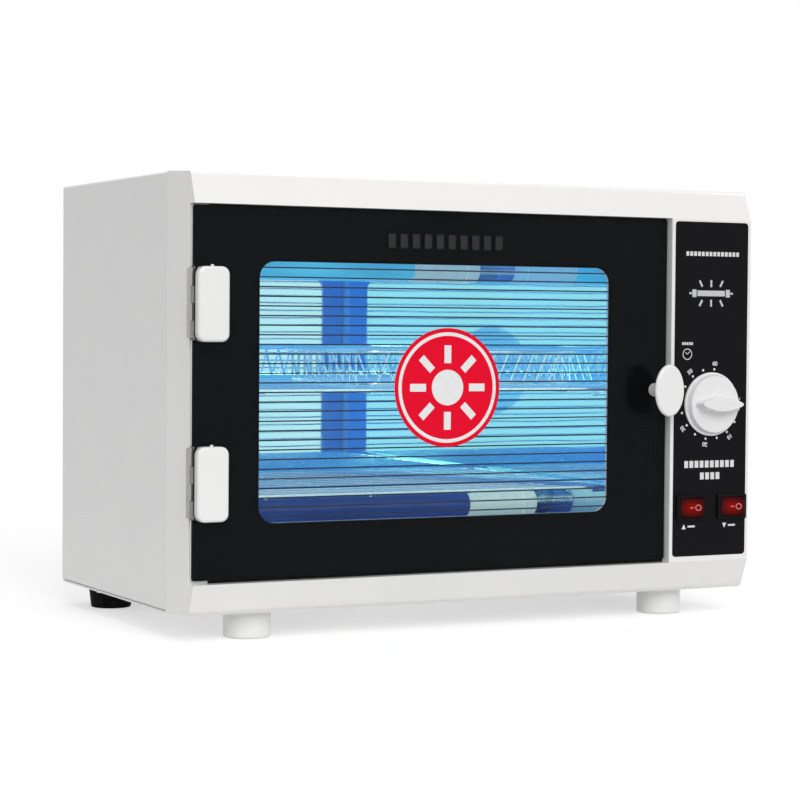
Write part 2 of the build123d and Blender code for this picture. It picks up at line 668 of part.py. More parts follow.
# ---- Hinges ----------------------------------------------------------------
knuckle = HINGE_LENGTH / KNUCKLES
KNUCKLE_GAP = 0.2
case_leaf_front = STOP_Y + LEAF_POCKET - LEAF - 0.05
door_leaf_back = DOOR_FRONT_Y - 0.05


def hinge_leaf(side, z):
    """One leaf with its two knuckles; the case leaf lies behind the door and the door leaf in front."""
    first = 0 if side == "door" else 1
    front, back = (
        (case_leaf_front, case_leaf_front + LEAF)
        if side == "case"
        else (door_leaf_back - LEAF, door_leaf_back)
    )
    bottom = z - HINGE_LENGTH / 2
    leaf_start = knuckle_notch_x + 0.1
    with BuildPart() as leaf:
        with BuildSketch(facing(back)):
            span((leaf_start, LEAF_END_X[side]), (bottom, bottom + HINGE_LENGTH))
            with Locations((LEAF_SCREW_X[side], z)):
                with GridLocations(0, LEAF_SCREW_SPREAD, 1, 2):
                    Circle(LEAF_SCREW_RADIUS + 0.1, mode=Mode.SUBTRACT)
        extrude(amount=LEAF)
        for step in range(first, KNUCKLES, 2):
            low = bottom + step * knuckle + KNUCKLE_GAP / 2
            with BuildSketch(Plane.XY.offset(low)):
                with Locations((HINGE_X, HINGE_Y)):
                    Circle(KNUCKLE_RADIUS)
                # Finger from the leaf, wrapped onto the barrel's flank.
                with BuildSketch():
                    span((HINGE_X, leaf_start + 0.2), (front, back))
                with BuildSketch():
                    root = (front, HINGE_Y) if side == "door" else (HINGE_Y, back)
                    span((HINGE_X - KNUCKLE_RADIUS * 0.4, HINGE_X + KNUCKLE_RADIUS * 0.4), root)
                with Locations((HINGE_X, HINGE_Y)):
                    Circle(PIN_RADIUS + RUNNING_GAP, mode=Mode.SUBTRACT)
            extrude(amount=knuckle - KNUCKLE_GAP)
    return leaf


def hinge_pin(z):
    """Pin through all the knuckles, with a thin head at the top."""
    with BuildPart() as pin:
        with BuildSketch(Plane.XY.offset(z - HINGE_LENGTH / 2)):
            with Locations((HINGE_X, HINGE_Y)):
                Circle(PIN_RADIUS)
        extrude(amount=HINGE_LENGTH)
        with BuildSketch(Plane.XY.offset(z + HINGE_LENGTH / 2)):
            with Locations((HINGE_X, HINGE_Y)):
                Circle(1.7)
        extrude(amount=0.6)
    return pin


def hinge_cover(z):
    """Rounded white block over the door leaf, hollow where the leaf and its screws lie."""
    middle = (DOOR_LEFT + COVER_SIZE[0] / 2, z - COVER_DROP)
    with BuildPart() as cover:
        with BuildSketch(facing(DOOR_FRONT_Y)):
            with Locations(middle):
                RectangleRounded(*COVER_SIZE, COVER_CORNER)
        extrude(amount=COVER_DEPTH)
        fillet(cover.faces().sort_by(Axis.Y)[0].edges(), radius=1.6)
        with BuildSketch(facing(DOOR_FRONT_Y)):
            reach = HINGE_LENGTH / 2 + 0.4
            span((DOOR_LEFT - 1, LEAF_END_X["door"] + 0.4), (z - reach, z + reach))
        extrude(amount=LEAF + 1.2, mode=Mode.SUBTRACT)
        # Small moulding nub on the top edge.
        with BuildSketch(Plane.XY.offset(middle[1] + COVER_SIZE[1] / 2 - 0.3)):
            with Locations((middle[0], DOOR_FRONT_Y - COVER_DEPTH / 2)):
                Circle(0.9)
        extrude(amount=1.3)
    return cover


upper_hinge_case_leaf = hinge_leaf("case", HINGE_Z["upper"])
upper_hinge_case_leaf.part.label = "upper_hinge_case_leaf"
export_step(upper_hinge_case_leaf.part, "parts/upper_hinge_case_leaf.step")

lower_hinge_case_leaf = hinge_leaf("case", HINGE_Z["lower"])
lower_hinge_case_leaf.part.label = "lower_hinge_case_leaf"
export_step(lower_hinge_case_leaf.part, "parts/lower_hinge_case_leaf.step")

upper_hinge_door_leaf = hinge_leaf("door", HINGE_Z["upper"])
upper_hinge_door_leaf.part.label = "upper_hinge_door_leaf"
export_step(upper_hinge_door_leaf.part, "parts/upper_hinge_door_leaf.step")

lower_hinge_door_leaf = hinge_leaf("door", HINGE_Z["lower"])
lower_hinge_door_leaf.part.label = "lower_hinge_door_leaf"
export_step(lower_hinge_door_leaf.part, "parts/lower_hinge_door_leaf.step")

upper_hinge_pin = hinge_pin(HINGE_Z["upper"])
upper_hinge_pin.part.label = "upper_hinge_pin"
export_step(upper_hinge_pin.part, "parts/upper_hinge_pin.step")

lower_hinge_pin = hinge_pin(HINGE_Z["lower"])
lower_hinge_pin.part.label = "lower_hinge_pin"
export_step(lower_hinge_pin.part, "parts/lower_hinge_pin.step")

upper_hinge_cover = hinge_cover(HINGE_Z["upper"])
upper_hinge_cover.part.label = "upper_hinge_cover"
export_step(upper_hinge_cover.part, "parts/upper_hinge_cover.step")

lower_hinge_cover = hinge_cover(HINGE_Z["lower"])
lower_hinge_cover.part.label = "lower_hinge_cover"
export_step(lower_hinge_cover.part, "parts/lower_hinge_cover.step")

# ---- Timer -----------------------------------------------------------------
timer_face = BROW_Y - KNOB_GAP
TIMER_BODY = (46.0, 46.0, 30.0)
SHAFT_BACK_Y = -94.0
SHAFT_FRONT_Y = -118.5
timer_axis = Axis((TIMER_X, 0, TIMER_Z), (0, 1, 0))

with BuildPart() as timer_body:
    with BuildSketch(facing(panel_inner_y + TIMER_BODY[2])):
        with Locations((TIMER_X, TIMER_Z)):
            RectangleRounded(TIMER_BODY[0], TIMER_BODY[1], 3.0)
    extrude(amount=TIMER_BODY[2])
    with BuildSketch(facing(panel_inner_y)):
        with Locations((TIMER_X, TIMER_Z)):
            Circle(TIMER_BUSH_RADIUS)
    extrude(amount=WALL)
    with BuildSketch(facing(SHAFT_BACK_Y + 0.3)):
        with Locations((TIMER_X, TIMER_Z)):
            Circle(SHAFT_RADIUS + RUNNING_GAP)
    cut_through_front(BROW_Y - 1, SHAFT_BACK_Y + 0.3)
    with BuildSketch(facing(panel_inner_y + 7)):
        with Locations((TIMER_X, TIMER_Z)):
            with GridLocations(TIMER_SCREW_SPREAD, 0, 2, 1):
                Circle(CASE_SCREW_RADIUS + RUNNING_GAP)
    extrude(amount=8.0, mode=Mode.SUBTRACT)
timer_body.part.label = "timer_body"
export_step(timer_body.part, "parts/timer_body.step")

with BuildPart() as timer_shaft:
    with BuildSketch(facing(SHAFT_BACK_Y)):
        with Locations((TIMER_X, TIMER_Z)):
            Circle(SHAFT_RADIUS)
    extrude(amount=SHAFT_BACK_Y - SHAFT_FRONT_Y)
    # Flat for the knob on the shaft's front end.
    with BuildSketch(facing(timer_face)):
        with Locations((TIMER_X, TIMER_Z + SHAFT_RADIUS + 0.5)):
            Rectangle(4 * SHAFT_RADIUS, 3.0)
    extrude(amount=10.0, mode=Mode.SUBTRACT)
timer_shaft.part.label = "timer_shaft"
export_step(timer_shaft.part, "parts/timer_shaft.step")

GRIP_LEFT, GRIP_RIGHT = -16.5, 18.5
GRIP_HALF = 5.2
GRIP_HEIGHT = 8.0
with BuildPart() as timer_knob:
    # Turned form: flat rim, sloping skirt and a face that is a little lower at its edge.
    with BuildSketch(Plane.XY.offset(TIMER_Z)):
        with BuildLine():
            rim = timer_face - 1.3
            face = timer_face - KNOB_HEIGHT
            Line((TIMER_X, timer_face), (TIMER_X + KNOB_RADIUS, timer_face))
            Line((TIMER_X + KNOB_RADIUS, timer_face), (TIMER_X + KNOB_RADIUS, rim))
            Line((TIMER_X + KNOB_RADIUS, rim), (TIMER_X + KNOB_RADIUS - 0.9, rim))
            Line((TIMER_X + KNOB_RADIUS - 0.9, rim), (TIMER_X + KNOB_FACE_RADIUS, face))
            ThreePointArc(
                (TIMER_X + KNOB_FACE_RADIUS, face),
                (TIMER_X + KNOB_FACE_RADIUS / 2, face - 0.45),
                (TIMER_X, face - 0.6),
            )
            Line((TIMER_X, face - 0.6), (TIMER_X, timer_face))
        make_face()
    revolve(axis=timer_axis)
    # Lens-shaped finger grip across the face.
    with BuildSketch(facing(face + 0.5)):
        with BuildLine():
            left_tip = (TIMER_X + GRIP_LEFT, TIMER_Z)
            right_tip = (TIMER_X + GRIP_RIGHT, TIMER_Z)
            middle_x = TIMER_X + (GRIP_LEFT + GRIP_RIGHT) / 2
            ThreePointArc(left_tip, (middle_x, TIMER_Z + GRIP_HALF), right_tip)
            ThreePointArc(right_tip, (middle_x, TIMER_Z - GRIP_HALF), left_tip)
        make_face()
        fillet(vertices(), radius=2.0)
    extrude(amount=GRIP_HEIGHT + 0.5, taper=7)
    fillet(timer_knob.faces().sort_by(Axis.Y)[0].edges(), radius=0.6)
    # Hollow underside that clears the screw heads, round a hub with a D-shaped bore.
    with BuildSketch(facing(timer_face)):
        with Locations((TIMER_X, TIMER_Z)):
            Circle(KNOB_FACE_RADIUS - 1.5)
            Circle(SHAFT_RADIUS + 2.0, mode=Mode.SUBTRACT)
    extrude(amount=2.2, mode=Mode.SUBTRACT)
    with BuildSketch(facing(timer_face)):
        with Locations((TIMER_X, TIMER_Z)):
            Circle(SHAFT_RADIUS + 0.02)
        with Locations((TIMER_X, TIMER_Z + SHAFT_RADIUS + 0.52)):
            Rectangle(4 * SHAFT_RADIUS, 3.0, mode=Mode.SUBTRACT)
    extrude(amount=timer_face - SHAFT_FRONT_Y + 0.3, mode=Mode.SUBTRACT)
timer_knob.part.label = "timer_knob"
export_step(timer_knob.part, "parts/timer_knob.step")

# ---- Rocker switches -------------------------------------------------------
ROCKER_PIVOT_Y = BROW_Y + 1.0
ROCKER_HALF = 8.1
FRAME_PROUD = 2.0
rocker_opening = (17.9, 12.2)
SWITCH_DEPTH = 15.0


def switch_housing(x):
    """Black snap-in housing: a frame on the plate and a body behind it, hollow for the rocker."""
    with BuildPart() as housing:
        with BuildSketch(facing(BROW_Y)):
            with Locations((x, SWITCH_Z)):
                RectangleRounded(*SWITCH_FRAME, 1.0)
        extrude(amount=FRAME_PROUD)
        fillet(housing.faces().sort_by(Axis.Y)[0].edges(), radius=0.7)
        with BuildSketch(facing(BROW_Y + SWITCH_DEPTH)):
            with Locations((x, SWITCH_Z)):
                Rectangle(*SWITCH_BODY)
        extrude(amount=SWITCH_DEPTH)
        with BuildSketch(facing(BROW_Y + 8)):
            with Locations((x, SWITCH_Z)):
                Rectangle(*rocker_opening)
        extrude(amount=12.0, mode=Mode.SUBTRACT)
    return housing


def switch_rocker(x):
    """Red rocker with a dished front, resting with its left end pressed in."""
    underside = Plane(origin=(x, ROCKER_PIVOT_Y, SWITCH_Z - ROCKER_HEIGHT / 2))
    tilt = underside.rotated((0, 0, -ROCKER_TILT))
    with BuildPart() as rocker:
        with BuildSketch(tilt):
            with BuildLine():
                ThreePointArc((-ROCKER_HALF, -4.3), (0, -2.9), (ROCKER_HALF, -4.3))
                Line((ROCKER_HALF, -4.3), (ROCKER_HALF, 0.5))
                ThreePointArc((ROCKER_HALF, 0.5), (0, 5.0), (-ROCKER_HALF, 0.5))
                Line((-ROCKER_HALF, 0.5), (-ROCKER_HALF, -4.3))
            make_face()
        extrude(amount=ROCKER_HEIGHT)
        fillet(rocker.edges().filter_by(Axis.Z).sort_by(Axis.Y)[:2], radius=0.5)
    return rocker


switch_housing_left = switch_housing(SWITCH_X["left"])
switch_housing_left.part.label = "switch_housing_left"
export_step(switch_housing_left.part, "parts/switch_housing_left.step")

switch_housing_right = switch_housing(SWITCH_X["right"])
switch_housing_right.part.label = "switch_housing_right"
export_step(switch_housing_right.part, "parts/switch_housing_right.step")

switch_rocker_left = switch_rocker(SWITCH_X["left"])
switch_rocker_left.part.label = "switch_rocker_left"
export_step(switch_rocker_left.part, "parts/switch_rocker_left.step")

switch_rocker_right = switch_rocker(SWITCH_X["right"])
switch_rocker_right.part.label = "switch_rocker_right"
export_step(switch_rocker_right.part, "parts/switch_rocker_right.step")

with BuildPart() as switch_terminals:
    # Two flat tags behind each switch.
    with BuildSketch(facing(BROW_Y + SWITCH_DEPTH + 8)):
        for x in SWITCH_X.values():
            with Locations((x, SWITCH_Z)):
                with GridLocations(9.0, 0, 2, 1):
                    Rectangle(0.8, 4.8)
    extrude(amount=8.0)
switch_terminals.part.label = "switch_terminals"
export_step(switch_terminals.part, "parts/switch_terminals.step")

# ---- Electrical compartment ------------------------------------------------
BALLAST_SIZE = (30.0, 70.0, 27.0)
BALLAST_Y = 25.0
BALLAST_X = {"upper": 122.0, "lower": 154.0}
CHOKE_BEND = 1.5
CHOKE_FOOT = 1.2
CHOKE_FOOT_LUG = 8.0  # the foot plate passes the core by this much at each end
CHOKE_SCREW_RADIUS = 1.8


def ballast(x):
    """Iron-cored choke on a foot plate."""
    with BuildPart() as choke:
        with BuildSketch(Plane.XY.offset(SHEET)):
            with Locations((x, BALLAST_Y)):
                Rectangle(BALLAST_SIZE[0], BALLAST_SIZE[1] + 2 * CHOKE_FOOT_LUG)
                with GridLocations(0, BALLAST_SIZE[1] + CHOKE_FOOT_LUG, 1, 2):
                    Circle(CHOKE_SCREW_RADIUS, mode=Mode.SUBTRACT)
        extrude(amount=CHOKE_FOOT)
        with BuildSketch(Plane.XY.offset(SHEET)):
            with Locations((x, BALLAST_Y)):
                RectangleRounded(BALLAST_SIZE[0], BALLAST_SIZE[1], CHOKE_BEND)
        extrude(amount=BALLAST_SIZE[2])
    return choke


upper_lamp_ballast = ballast(BALLAST_X["upper"])
upper_lamp_ballast.part.label = "upper_lamp_ballast"
export_step(upper_lamp_ballast.part, "parts/upper_lamp_ballast.step")

lower_lamp_ballast = ballast(BALLAST_X["lower"])
lower_lamp_ballast.part.label = "lower_lamp_ballast"
export_step(lower_lamp_ballast.part, "parts/lower_lamp_ballast.step")

STARTER_Y = -48.0
STARTER_RADIUS = 10.5
STARTER_HEIGHT = 34.0
with BuildPart() as lamp_starters:
    # Two glow starters standing in the compartment, one for each lamp.
    for x in BALLAST_X.values():
        with Locations((x, STARTER_Y, SHEET)):
            Cylinder(
                STARTER_RADIUS, STARTER_HEIGHT, align=(Align.CENTER, Align.CENTER, Align.MIN)
            )
    fillet(lamp_starters.faces().group_by(Axis.Z)[-1].edges(), radius=1.5)
lamp_starters.part.label = "lamp_starters"
export_step(lamp_starters.part, "parts/lamp_starters.step")

TERMINAL_X, TERMINAL_Y = 126.0, 91.0
TERMINAL_BASE = (34.0, 9.0, 12.0)
TERMINAL_PITCH = 11.0
TERMINAL_TOWER = (8.0, 9.0, 5.0)
with BuildPart() as terminal_block:
    # Three-way block: a base bar with one tower over each terminal screw.
    with BuildSketch(Plane.XY.offset(2 * SHEET)):
        with Locations((TERMINAL_X, TERMINAL_Y)):
            Rectangle(TERMINAL_BASE[0], TERMINAL_BASE[1])
    extrude(amount=TERMINAL_BASE[2])
    with BuildSketch(Plane.XY.offset(2 * SHEET + TERMINAL_BASE[2])):
        with Locations((TERMINAL_X, TERMINAL_Y)):
            with GridLocations(TERMINAL_PITCH, 0, 3, 1):
                Rectangle(TERMINAL_TOWER[0], TERMINAL_TOWER[1])
                Circle(2.0, mode=Mode.SUBTRACT)
    extrude(amount=TERMINAL_TOWER[2])
terminal_block.part.label = "terminal_block"
export_step(terminal_block.part, "parts/terminal_block.step")

WIRE_RADIUS = 0.9
timer_back = panel_inner_y + TIMER_BODY[2] + 1.2
switch_back = BROW_Y + SWITCH_DEPTH + 9.2
liner_outside = CHAMBER_X[1] + LINER + 5.4
WIRE_RUNS = (
    # terminal block to the timer
    ((115.0, 91.0, 20.5), (124.0, 60.0, 90.0), (146.0, -30.0, 130.0), (152.0, timer_back, 120.0)),
    # timer to each switch
    ((143.0, timer_back, 106.0), (138.0, -68.0, 85.0), (135.9, -70.0, 62.0), (135.9, switch_back, 53.0)),
    ((163.0, timer_back, 106.0), (167.0, -68.0, 85.0), (165.5, -70.0, 62.0), (165.5, switch_back, 53.0)),
    # chokes to the lamp holders
    ((114.0, 20.0, 29.2), (110.0, 30.0, 80.0), (112.0, 50.0, 150.0), (liner_outside, *LAMP_PLACE["upper"])),
    ((152.0, 20.0, 29.2), (144.0, 14.0, 42.0), (126.0, 2.0, 54.0), (liner_outside, *LAMP_PLACE["lower"])),
    # terminal block to the switches
    ((137.0, 91.0, 20.5), (150.0, 60.0, 50.0), (150.0, -30.0, 66.0), (144.9, switch_back, 53.0)),
)
with BuildPart() as wiring_harness:
    for run in WIRE_RUNS:
        with BuildLine() as route:
            Spline(*run)
        with BuildSketch(Plane(origin=route.line @ 0, z_dir=route.line % 0)):
            Circle(WIRE_RADIUS)
        sweep(path=route.line)
wiring_harness.part.label = "wiring_harness"
export_step(wiring_harness.part, "parts/wiring_harness.step")

# ---- Mains cord ------------------------------------------------------------
CORD_RADIUS = 3.2
bench_z = -FOOT_HEIGHT + CORD_RADIUS + 0.4
CORD_TOUCH_X = 95.0  # where the cord first lies on the bench
CORD_RUN_Y = 131.0
CORD_TURN_RADIUS = 14.0
CORD_TURN_X = -110.0
PLUG_Y = CORD_RUN_Y + 2 * CORD_TURN_RADIUS
PLUG_SECTION = (22.0, 6.8)
PLUG_CORNER = 3.0
PLUG_NECK_X, PLUG_FACE_X = 18.0, 34.0  # end of the tapering neck, and the face with the pins
PLUG_PIN_RADIUS = 1.58
PLUG_PIN_SPREAD = 12.7
PLUG_PIN_ROOT = 4.0  # length of each pin inside the plug
PLUG_PIN_REACH = 16.0

with BuildPart() as cord_grommet:
    with BuildSketch(facing(BACK_Y + 6)):
        with Locations((CORD_X, CORD_Z)):
            Circle(8.5)
    extrude(amount=6.0)
    with BuildSketch(facing(BACK_Y)):
        with Locations((CORD_X, CORD_Z)):
            Circle(GROMMET_NECK_RADIUS - 0.1)
    extrude(amount=6.0)
    with BuildSketch(facing(BACK_Y + 7)):
        with Locations((CORD_X, CORD_Z)):
            Circle(CORD_RADIUS + RUNNING_GAP)
    extrude(amount=14.0, mode=Mode.SUBTRACT)
    rear_circles = cord_grommet.edges().filter_by(GeomType.CIRCLE).group_by(Axis.Y)[-1]
    fillet(rear_circles.sort_by(SortBy.RADIUS)[-1], radius=2.0)
cord_grommet.part.label = "cord_grommet"
export_step(cord_grommet.part, "parts/cord_grommet.step")

with BuildPart() as power_cord:
    # Leaves the grommet, drops to the bench and lies in one flat loop behind the cabinet.
    with BuildLine() as cord_route:
        straight = Line((CORD_X, BACK_Y - 6, CORD_Z), (CORD_X, BACK_Y + 8, CORD_Z))
        touch_down = (CORD_TOUCH_X, CORD_RUN_Y, bench_z)
        turn_start = (CORD_TURN_X, CORD_RUN_Y, bench_z)
        turn_middle = (CORD_TURN_X - CORD_TURN_RADIUS, CORD_RUN_Y + CORD_TURN_RADIUS, bench_z)
        turn_end = (CORD_TURN_X, PLUG_Y, bench_z)
        Spline(straight @ 1, touch_down, tangents=[(0, 1, 0), (-1, 0, 0)])
        Line(touch_down, turn_start)
        ThreePointArc(turn_start, turn_middle, turn_end)
        Line(turn_end, (0, PLUG_Y, bench_z))
    with BuildSketch(Plane(origin=straight @ 0, z_dir=(0, 1, 0))):
        Circle(CORD_RADIUS)
    sweep(path=cord_route.wires()[0])
power_cord.part.label = "power_cord"
export_step(power_cord.part, "parts/power_cord.step")

with BuildPart() as power_plug:
    # Moulded two-pin plug lying on the bench.
    with BuildSketch(Plane.YZ.offset(0.3)) as plug_start:
        with Locations((PLUG_Y, bench_z)):
            Circle(CORD_RADIUS)
    with BuildSketch(Plane.YZ.offset(PLUG_NECK_X)) as plug_shoulder:
        with Locations((PLUG_Y, bench_z)):
            RectangleRounded(*PLUG_SECTION, PLUG_CORNER)
    loft(sections=[plug_start.sketch, plug_shoulder.sketch])
    with BuildSketch(Plane.YZ.offset(PLUG_NECK_X)):
        with Locations((PLUG_Y, bench_z)):
            RectangleRounded(*PLUG_SECTION, PLUG_CORNER)
    extrude(amount=PLUG_FACE_X - PLUG_NECK_X)
    fillet(power_plug.faces().sort_by(Axis.X)[-1].edges(), radius=1.2)
    with BuildSketch(Plane.YZ.offset(PLUG_FACE_X - PLUG_PIN_ROOT)):
        with Locations((PLUG_Y, bench_z)):
            with GridLocations(PLUG_PIN_SPREAD, 0, 2, 1):
                Circle(PLUG_PIN_RADIUS + 0.02)
    extrude(amount=2 * PLUG_PIN_ROOT, mode=Mode.SUBTRACT)
power_plug.part.label = "power_plug"
export_step(power_plug.part, "parts/power_plug.step")

with BuildPart() as plug_pins:
    with BuildSketch(Plane.YZ.offset(PLUG_FACE_X - PLUG_PIN_ROOT + 0.2)):
        with Locations((PLUG_Y, bench_z)):
            with GridLocations(PLUG_PIN_SPREAD, 0, 2, 1):
                Circle(PLUG_PIN_RADIUS)
    extrude(amount=PLUG_PIN_ROOT + PLUG_PIN_REACH)
    fillet(plug_pins.faces().group_by(Axis.X)[-1].edges(), radius=0.8)
plug_pins.part.label = "plug_pins"
export_step(plug_pins.part, "parts/plug_pins.step")

# ---- Feet ------------------------------------------------------------------
FRONT_FOOT_RADIUS = 13.5
REAR_FOOT_TOP_RADIUS = 13.8
REAR_FOOT_BOTTOM_RADIUS = 12.2
SCREW_WELL_RADIUS = 5.0
SCREW_WELL = 9.0


def drill_foot(spot):
    """Deep well for the screw head in a foot's underside, and the hole above it."""
    with Locations(Location(Plane(origin=(*spot, -FOOT_HEIGHT), z_dir=(0, 0, -1)))):
        CounterBoreHole(FOOT_SCREW_RADIUS + SCREW_CLEARANCE, SCREW_WELL_RADIUS, SCREW_WELL)


def front_foot(spot):
    """White glossy cylinder with softened lower edge."""
    with BuildPart() as foot:
        with BuildSketch(Plane.XY.offset(-FOOT_HEIGHT)):
            with Locations(spot):
                Circle(FRONT_FOOT_RADIUS)
        extrude(amount=FOOT_HEIGHT + NOSE_DRAFT)
        # The bezel's underside rises slightly towards the front, and the foot follows it there.
        with BuildSketch(Plane.YZ):
            with BuildLine():
                Polyline(
                    (JOINT_Y + FRONT_FOOT_RADIUS, -FOOT_HEIGHT),
                    (JOINT_Y + FRONT_FOOT_RADIUS, 0),
                    (JOINT_Y, 0),
                    (NOSE_Y, NOSE_DRAFT),
                    (NOSE_Y, -FOOT_HEIGHT),
                    close=True,
                )
            make_face()
        extrude(amount=WIDTH, both=True, mode=Mode.INTERSECT)
        fillet(foot.faces().sort_by(Axis.Z)[0].edges(), radius=1.5)
        drill_foot(spot)
    return foot


def rear_foot(spot):
    """Black rubber foot, tapered towards the bench."""
    with BuildPart() as foot:
        with Locations((*spot, 0)):
            Cone(
                REAR_FOOT_BOTTOM_RADIUS,
                REAR_FOOT_TOP_RADIUS,
                FOOT_HEIGHT,
                align=(Align.CENTER, Align.CENTER, Align.MAX),
            )
        fillet(foot.faces().sort_by(Axis.Z)[0].edges(), radius=1.0)
        drill_foot(spot)
    return foot


front_foot_left = front_foot(FOOT_SPOTS["front_left"])
front_foot_left.part.label = "front_foot_left"
export_step(front_foot_left.part, "parts/front_foot_left.step")

front_foot_right = front_foot(FOOT_SPOTS["front_right"])
front_foot_right.part.label = "front_foot_right"
export_step(front_foot_right.part, "parts/front_foot_right.step")

rear_foot_left = rear_foot(FOOT_SPOTS["rear_left"])
rear_foot_left.part.label = "rear_foot_left"
export_step(rear_foot_left.part, "parts/rear_foot_left.step")

rear_foot_right = rear_foot(FOOT_SPOTS["rear_right"])
rear_foot_right.part.label = "rear_foot_right"
export_step(rear_foot_right.part, "parts/rear_foot_right.step")


# ---- Screws ----------------------------------------------------------------
def pan_screw(seat, radius, length, head_height):
    """Cross-slotted screw: its shank runs along the seat plane's normal, and its head is below."""
    head_radius = 1.9 * radius
    under_head = seat.offset(-head_height)
    with BuildPart() as screw:
        with BuildSketch(under_head):
            Circle(head_radius)
        extrude(amount=head_height)
        with BuildSketch(seat):
            Circle(radius)
        extrude(amount=length)
        with BuildSketch(under_head):
            Rectangle(1.3 * head_radius, 0.3 * radius)
            Rectangle(0.3 * radius, 1.3 * head_radius)
        extrude(amount=0.5 * head_height, mode=Mode.SUBTRACT)
    return screw.part


def screw_group(seats, radius, length, head_height):
    """Identical screws, one on each seat plane."""
    screws = [pan_screw(seat, radius, length, head_height) for seat in seats]
    with BuildPart() as group:
        add(screws)
    return group


foot_screws = screw_group(
    [Plane(origin=(x, y, SCREW_WELL - FOOT_HEIGHT)) for x, y in FOOT_SPOTS.values()],
    FOOT_SCREW_RADIUS,
    length=10.0,
    head_height=2.2,
)
foot_screws.part.label = "foot_screws"
export_step(foot_screws.part, "parts/foot_screws.step")

rear_seats = [
    Plane(origin=(x, BACK_Y, z), z_dir=(0, -1, 0)) for x in REAR_SCREW_X for z in rear_screw_z
]
base_seats = [
    Plane(origin=(side * base_screw_x, y, 0)) for side in (-1, 1) for y in BASE_SCREW_ROWS
]
case_screws = screw_group(rear_seats + base_seats, CASE_SCREW_RADIUS, length=SHEET, head_height=1.6)
case_screws.part.label = "case_screws"
export_step(case_screws.part, "parts/case_screws.step")

timer_screws = screw_group(
    [
        Plane(origin=(TIMER_X + side * TIMER_SCREW_SPREAD / 2, BROW_Y, TIMER_Z), z_dir=(0, 1, 0))
        for side in (-1, 1)
    ],
    CASE_SCREW_RADIUS,
    length=7.0,
    head_height=1.6,
)
timer_screws.part.label = "timer_screws"
export_step(timer_screws.part, "parts/timer_screws.step")


def leaf_screws(side, head_seat_y, length):
    """Flat-headed screws through the hinge leaves on one side."""
    seats = [
        Plane(origin=(x, head_seat_y, z), z_dir=(0, 1, 0)) for x, z in leaf_screw_spots(side)
    ]
    return screw_group(seats, LEAF_SCREW_RADIUS, length, LEAF_SCREW_HEAD)


hinge_case_screws = leaf_screws("case", case_leaf_front, 3.5)
hinge_case_screws.part.label = "hinge_case_screws"
export_step(hinge_case_screws.part, "parts/hinge_case_screws.step")

hinge_door_screws = leaf_screws("door", door_leaf_back - LEAF, 4.4)
hinge_door_screws.part.label = "hinge_door_screws"
export_step(hinge_door_screws.part, "parts/hinge_door_screws.step")
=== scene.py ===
"""Ultraviolet sterilizer cabinet: finishes, fine detail, floor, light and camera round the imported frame."""

import json
from math import cos, pi, radians, sin, sqrt

import bmesh
import bpy
from mathutils import Matrix, Vector


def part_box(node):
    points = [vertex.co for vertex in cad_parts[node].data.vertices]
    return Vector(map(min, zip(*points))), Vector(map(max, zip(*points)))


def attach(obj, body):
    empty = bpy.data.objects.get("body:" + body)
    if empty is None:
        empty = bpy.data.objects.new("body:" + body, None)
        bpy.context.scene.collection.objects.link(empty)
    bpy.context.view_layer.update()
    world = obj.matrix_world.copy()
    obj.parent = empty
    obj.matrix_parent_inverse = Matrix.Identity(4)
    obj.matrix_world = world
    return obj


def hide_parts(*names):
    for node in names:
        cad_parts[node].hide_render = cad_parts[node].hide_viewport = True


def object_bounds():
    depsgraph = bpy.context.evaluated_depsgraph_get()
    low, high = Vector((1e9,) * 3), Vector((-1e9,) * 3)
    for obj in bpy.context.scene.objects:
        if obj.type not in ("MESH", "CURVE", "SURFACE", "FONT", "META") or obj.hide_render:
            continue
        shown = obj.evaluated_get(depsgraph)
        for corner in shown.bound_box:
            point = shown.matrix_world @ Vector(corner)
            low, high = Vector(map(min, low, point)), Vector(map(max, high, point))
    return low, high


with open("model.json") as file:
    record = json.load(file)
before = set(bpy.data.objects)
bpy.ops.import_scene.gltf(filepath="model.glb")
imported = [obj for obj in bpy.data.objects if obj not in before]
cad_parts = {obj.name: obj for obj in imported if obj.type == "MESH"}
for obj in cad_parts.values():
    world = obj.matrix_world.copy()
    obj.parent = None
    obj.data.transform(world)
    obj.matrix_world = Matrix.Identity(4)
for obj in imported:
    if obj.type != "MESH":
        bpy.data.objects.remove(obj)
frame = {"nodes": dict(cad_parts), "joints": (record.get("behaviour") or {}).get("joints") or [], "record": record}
cad_low, cad_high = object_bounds()
nodes = frame["nodes"]
MM = 0.001

# Places taken from the frame: the low and high corners of each box, in metres.
panel_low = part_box("control_plate")[0]
glass_low, glass_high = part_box("door_glass")
liner_low, liner_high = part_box("chamber_liner")
knob_low, knob_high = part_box("timer_knob")
sticker_low, sticker_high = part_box("window_sticker")
basket_low, basket_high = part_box("wire_basket")
foot_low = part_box("front_foot_left")[0]
panel_face = panel_low.y
bench_z = foot_low.z

# Colours painted on the chamber's mirror, from its middle to its edges: a tint of the lamps' cyan light in its
# middle, painted shade near its top and deep painted shade at its bottom; and the blue glow painted on it, which
# stands for the lamps' light.
MIRROR_PAINTED_LAMP_TINT = (0.56, 0.84, 0.68)
MIRROR_PAINTED_SHADE = (0.30, 0.52, 0.55)
MIRROR_PAINTED_DEEP_SHADE = (0.05, 0.10, 0.20)
PAINTED_GLOW_BLUE = (0.012, 0.05, 0.30)
PAINTED_GLOW_DEEP = (0.006, 0.015, 0.08)


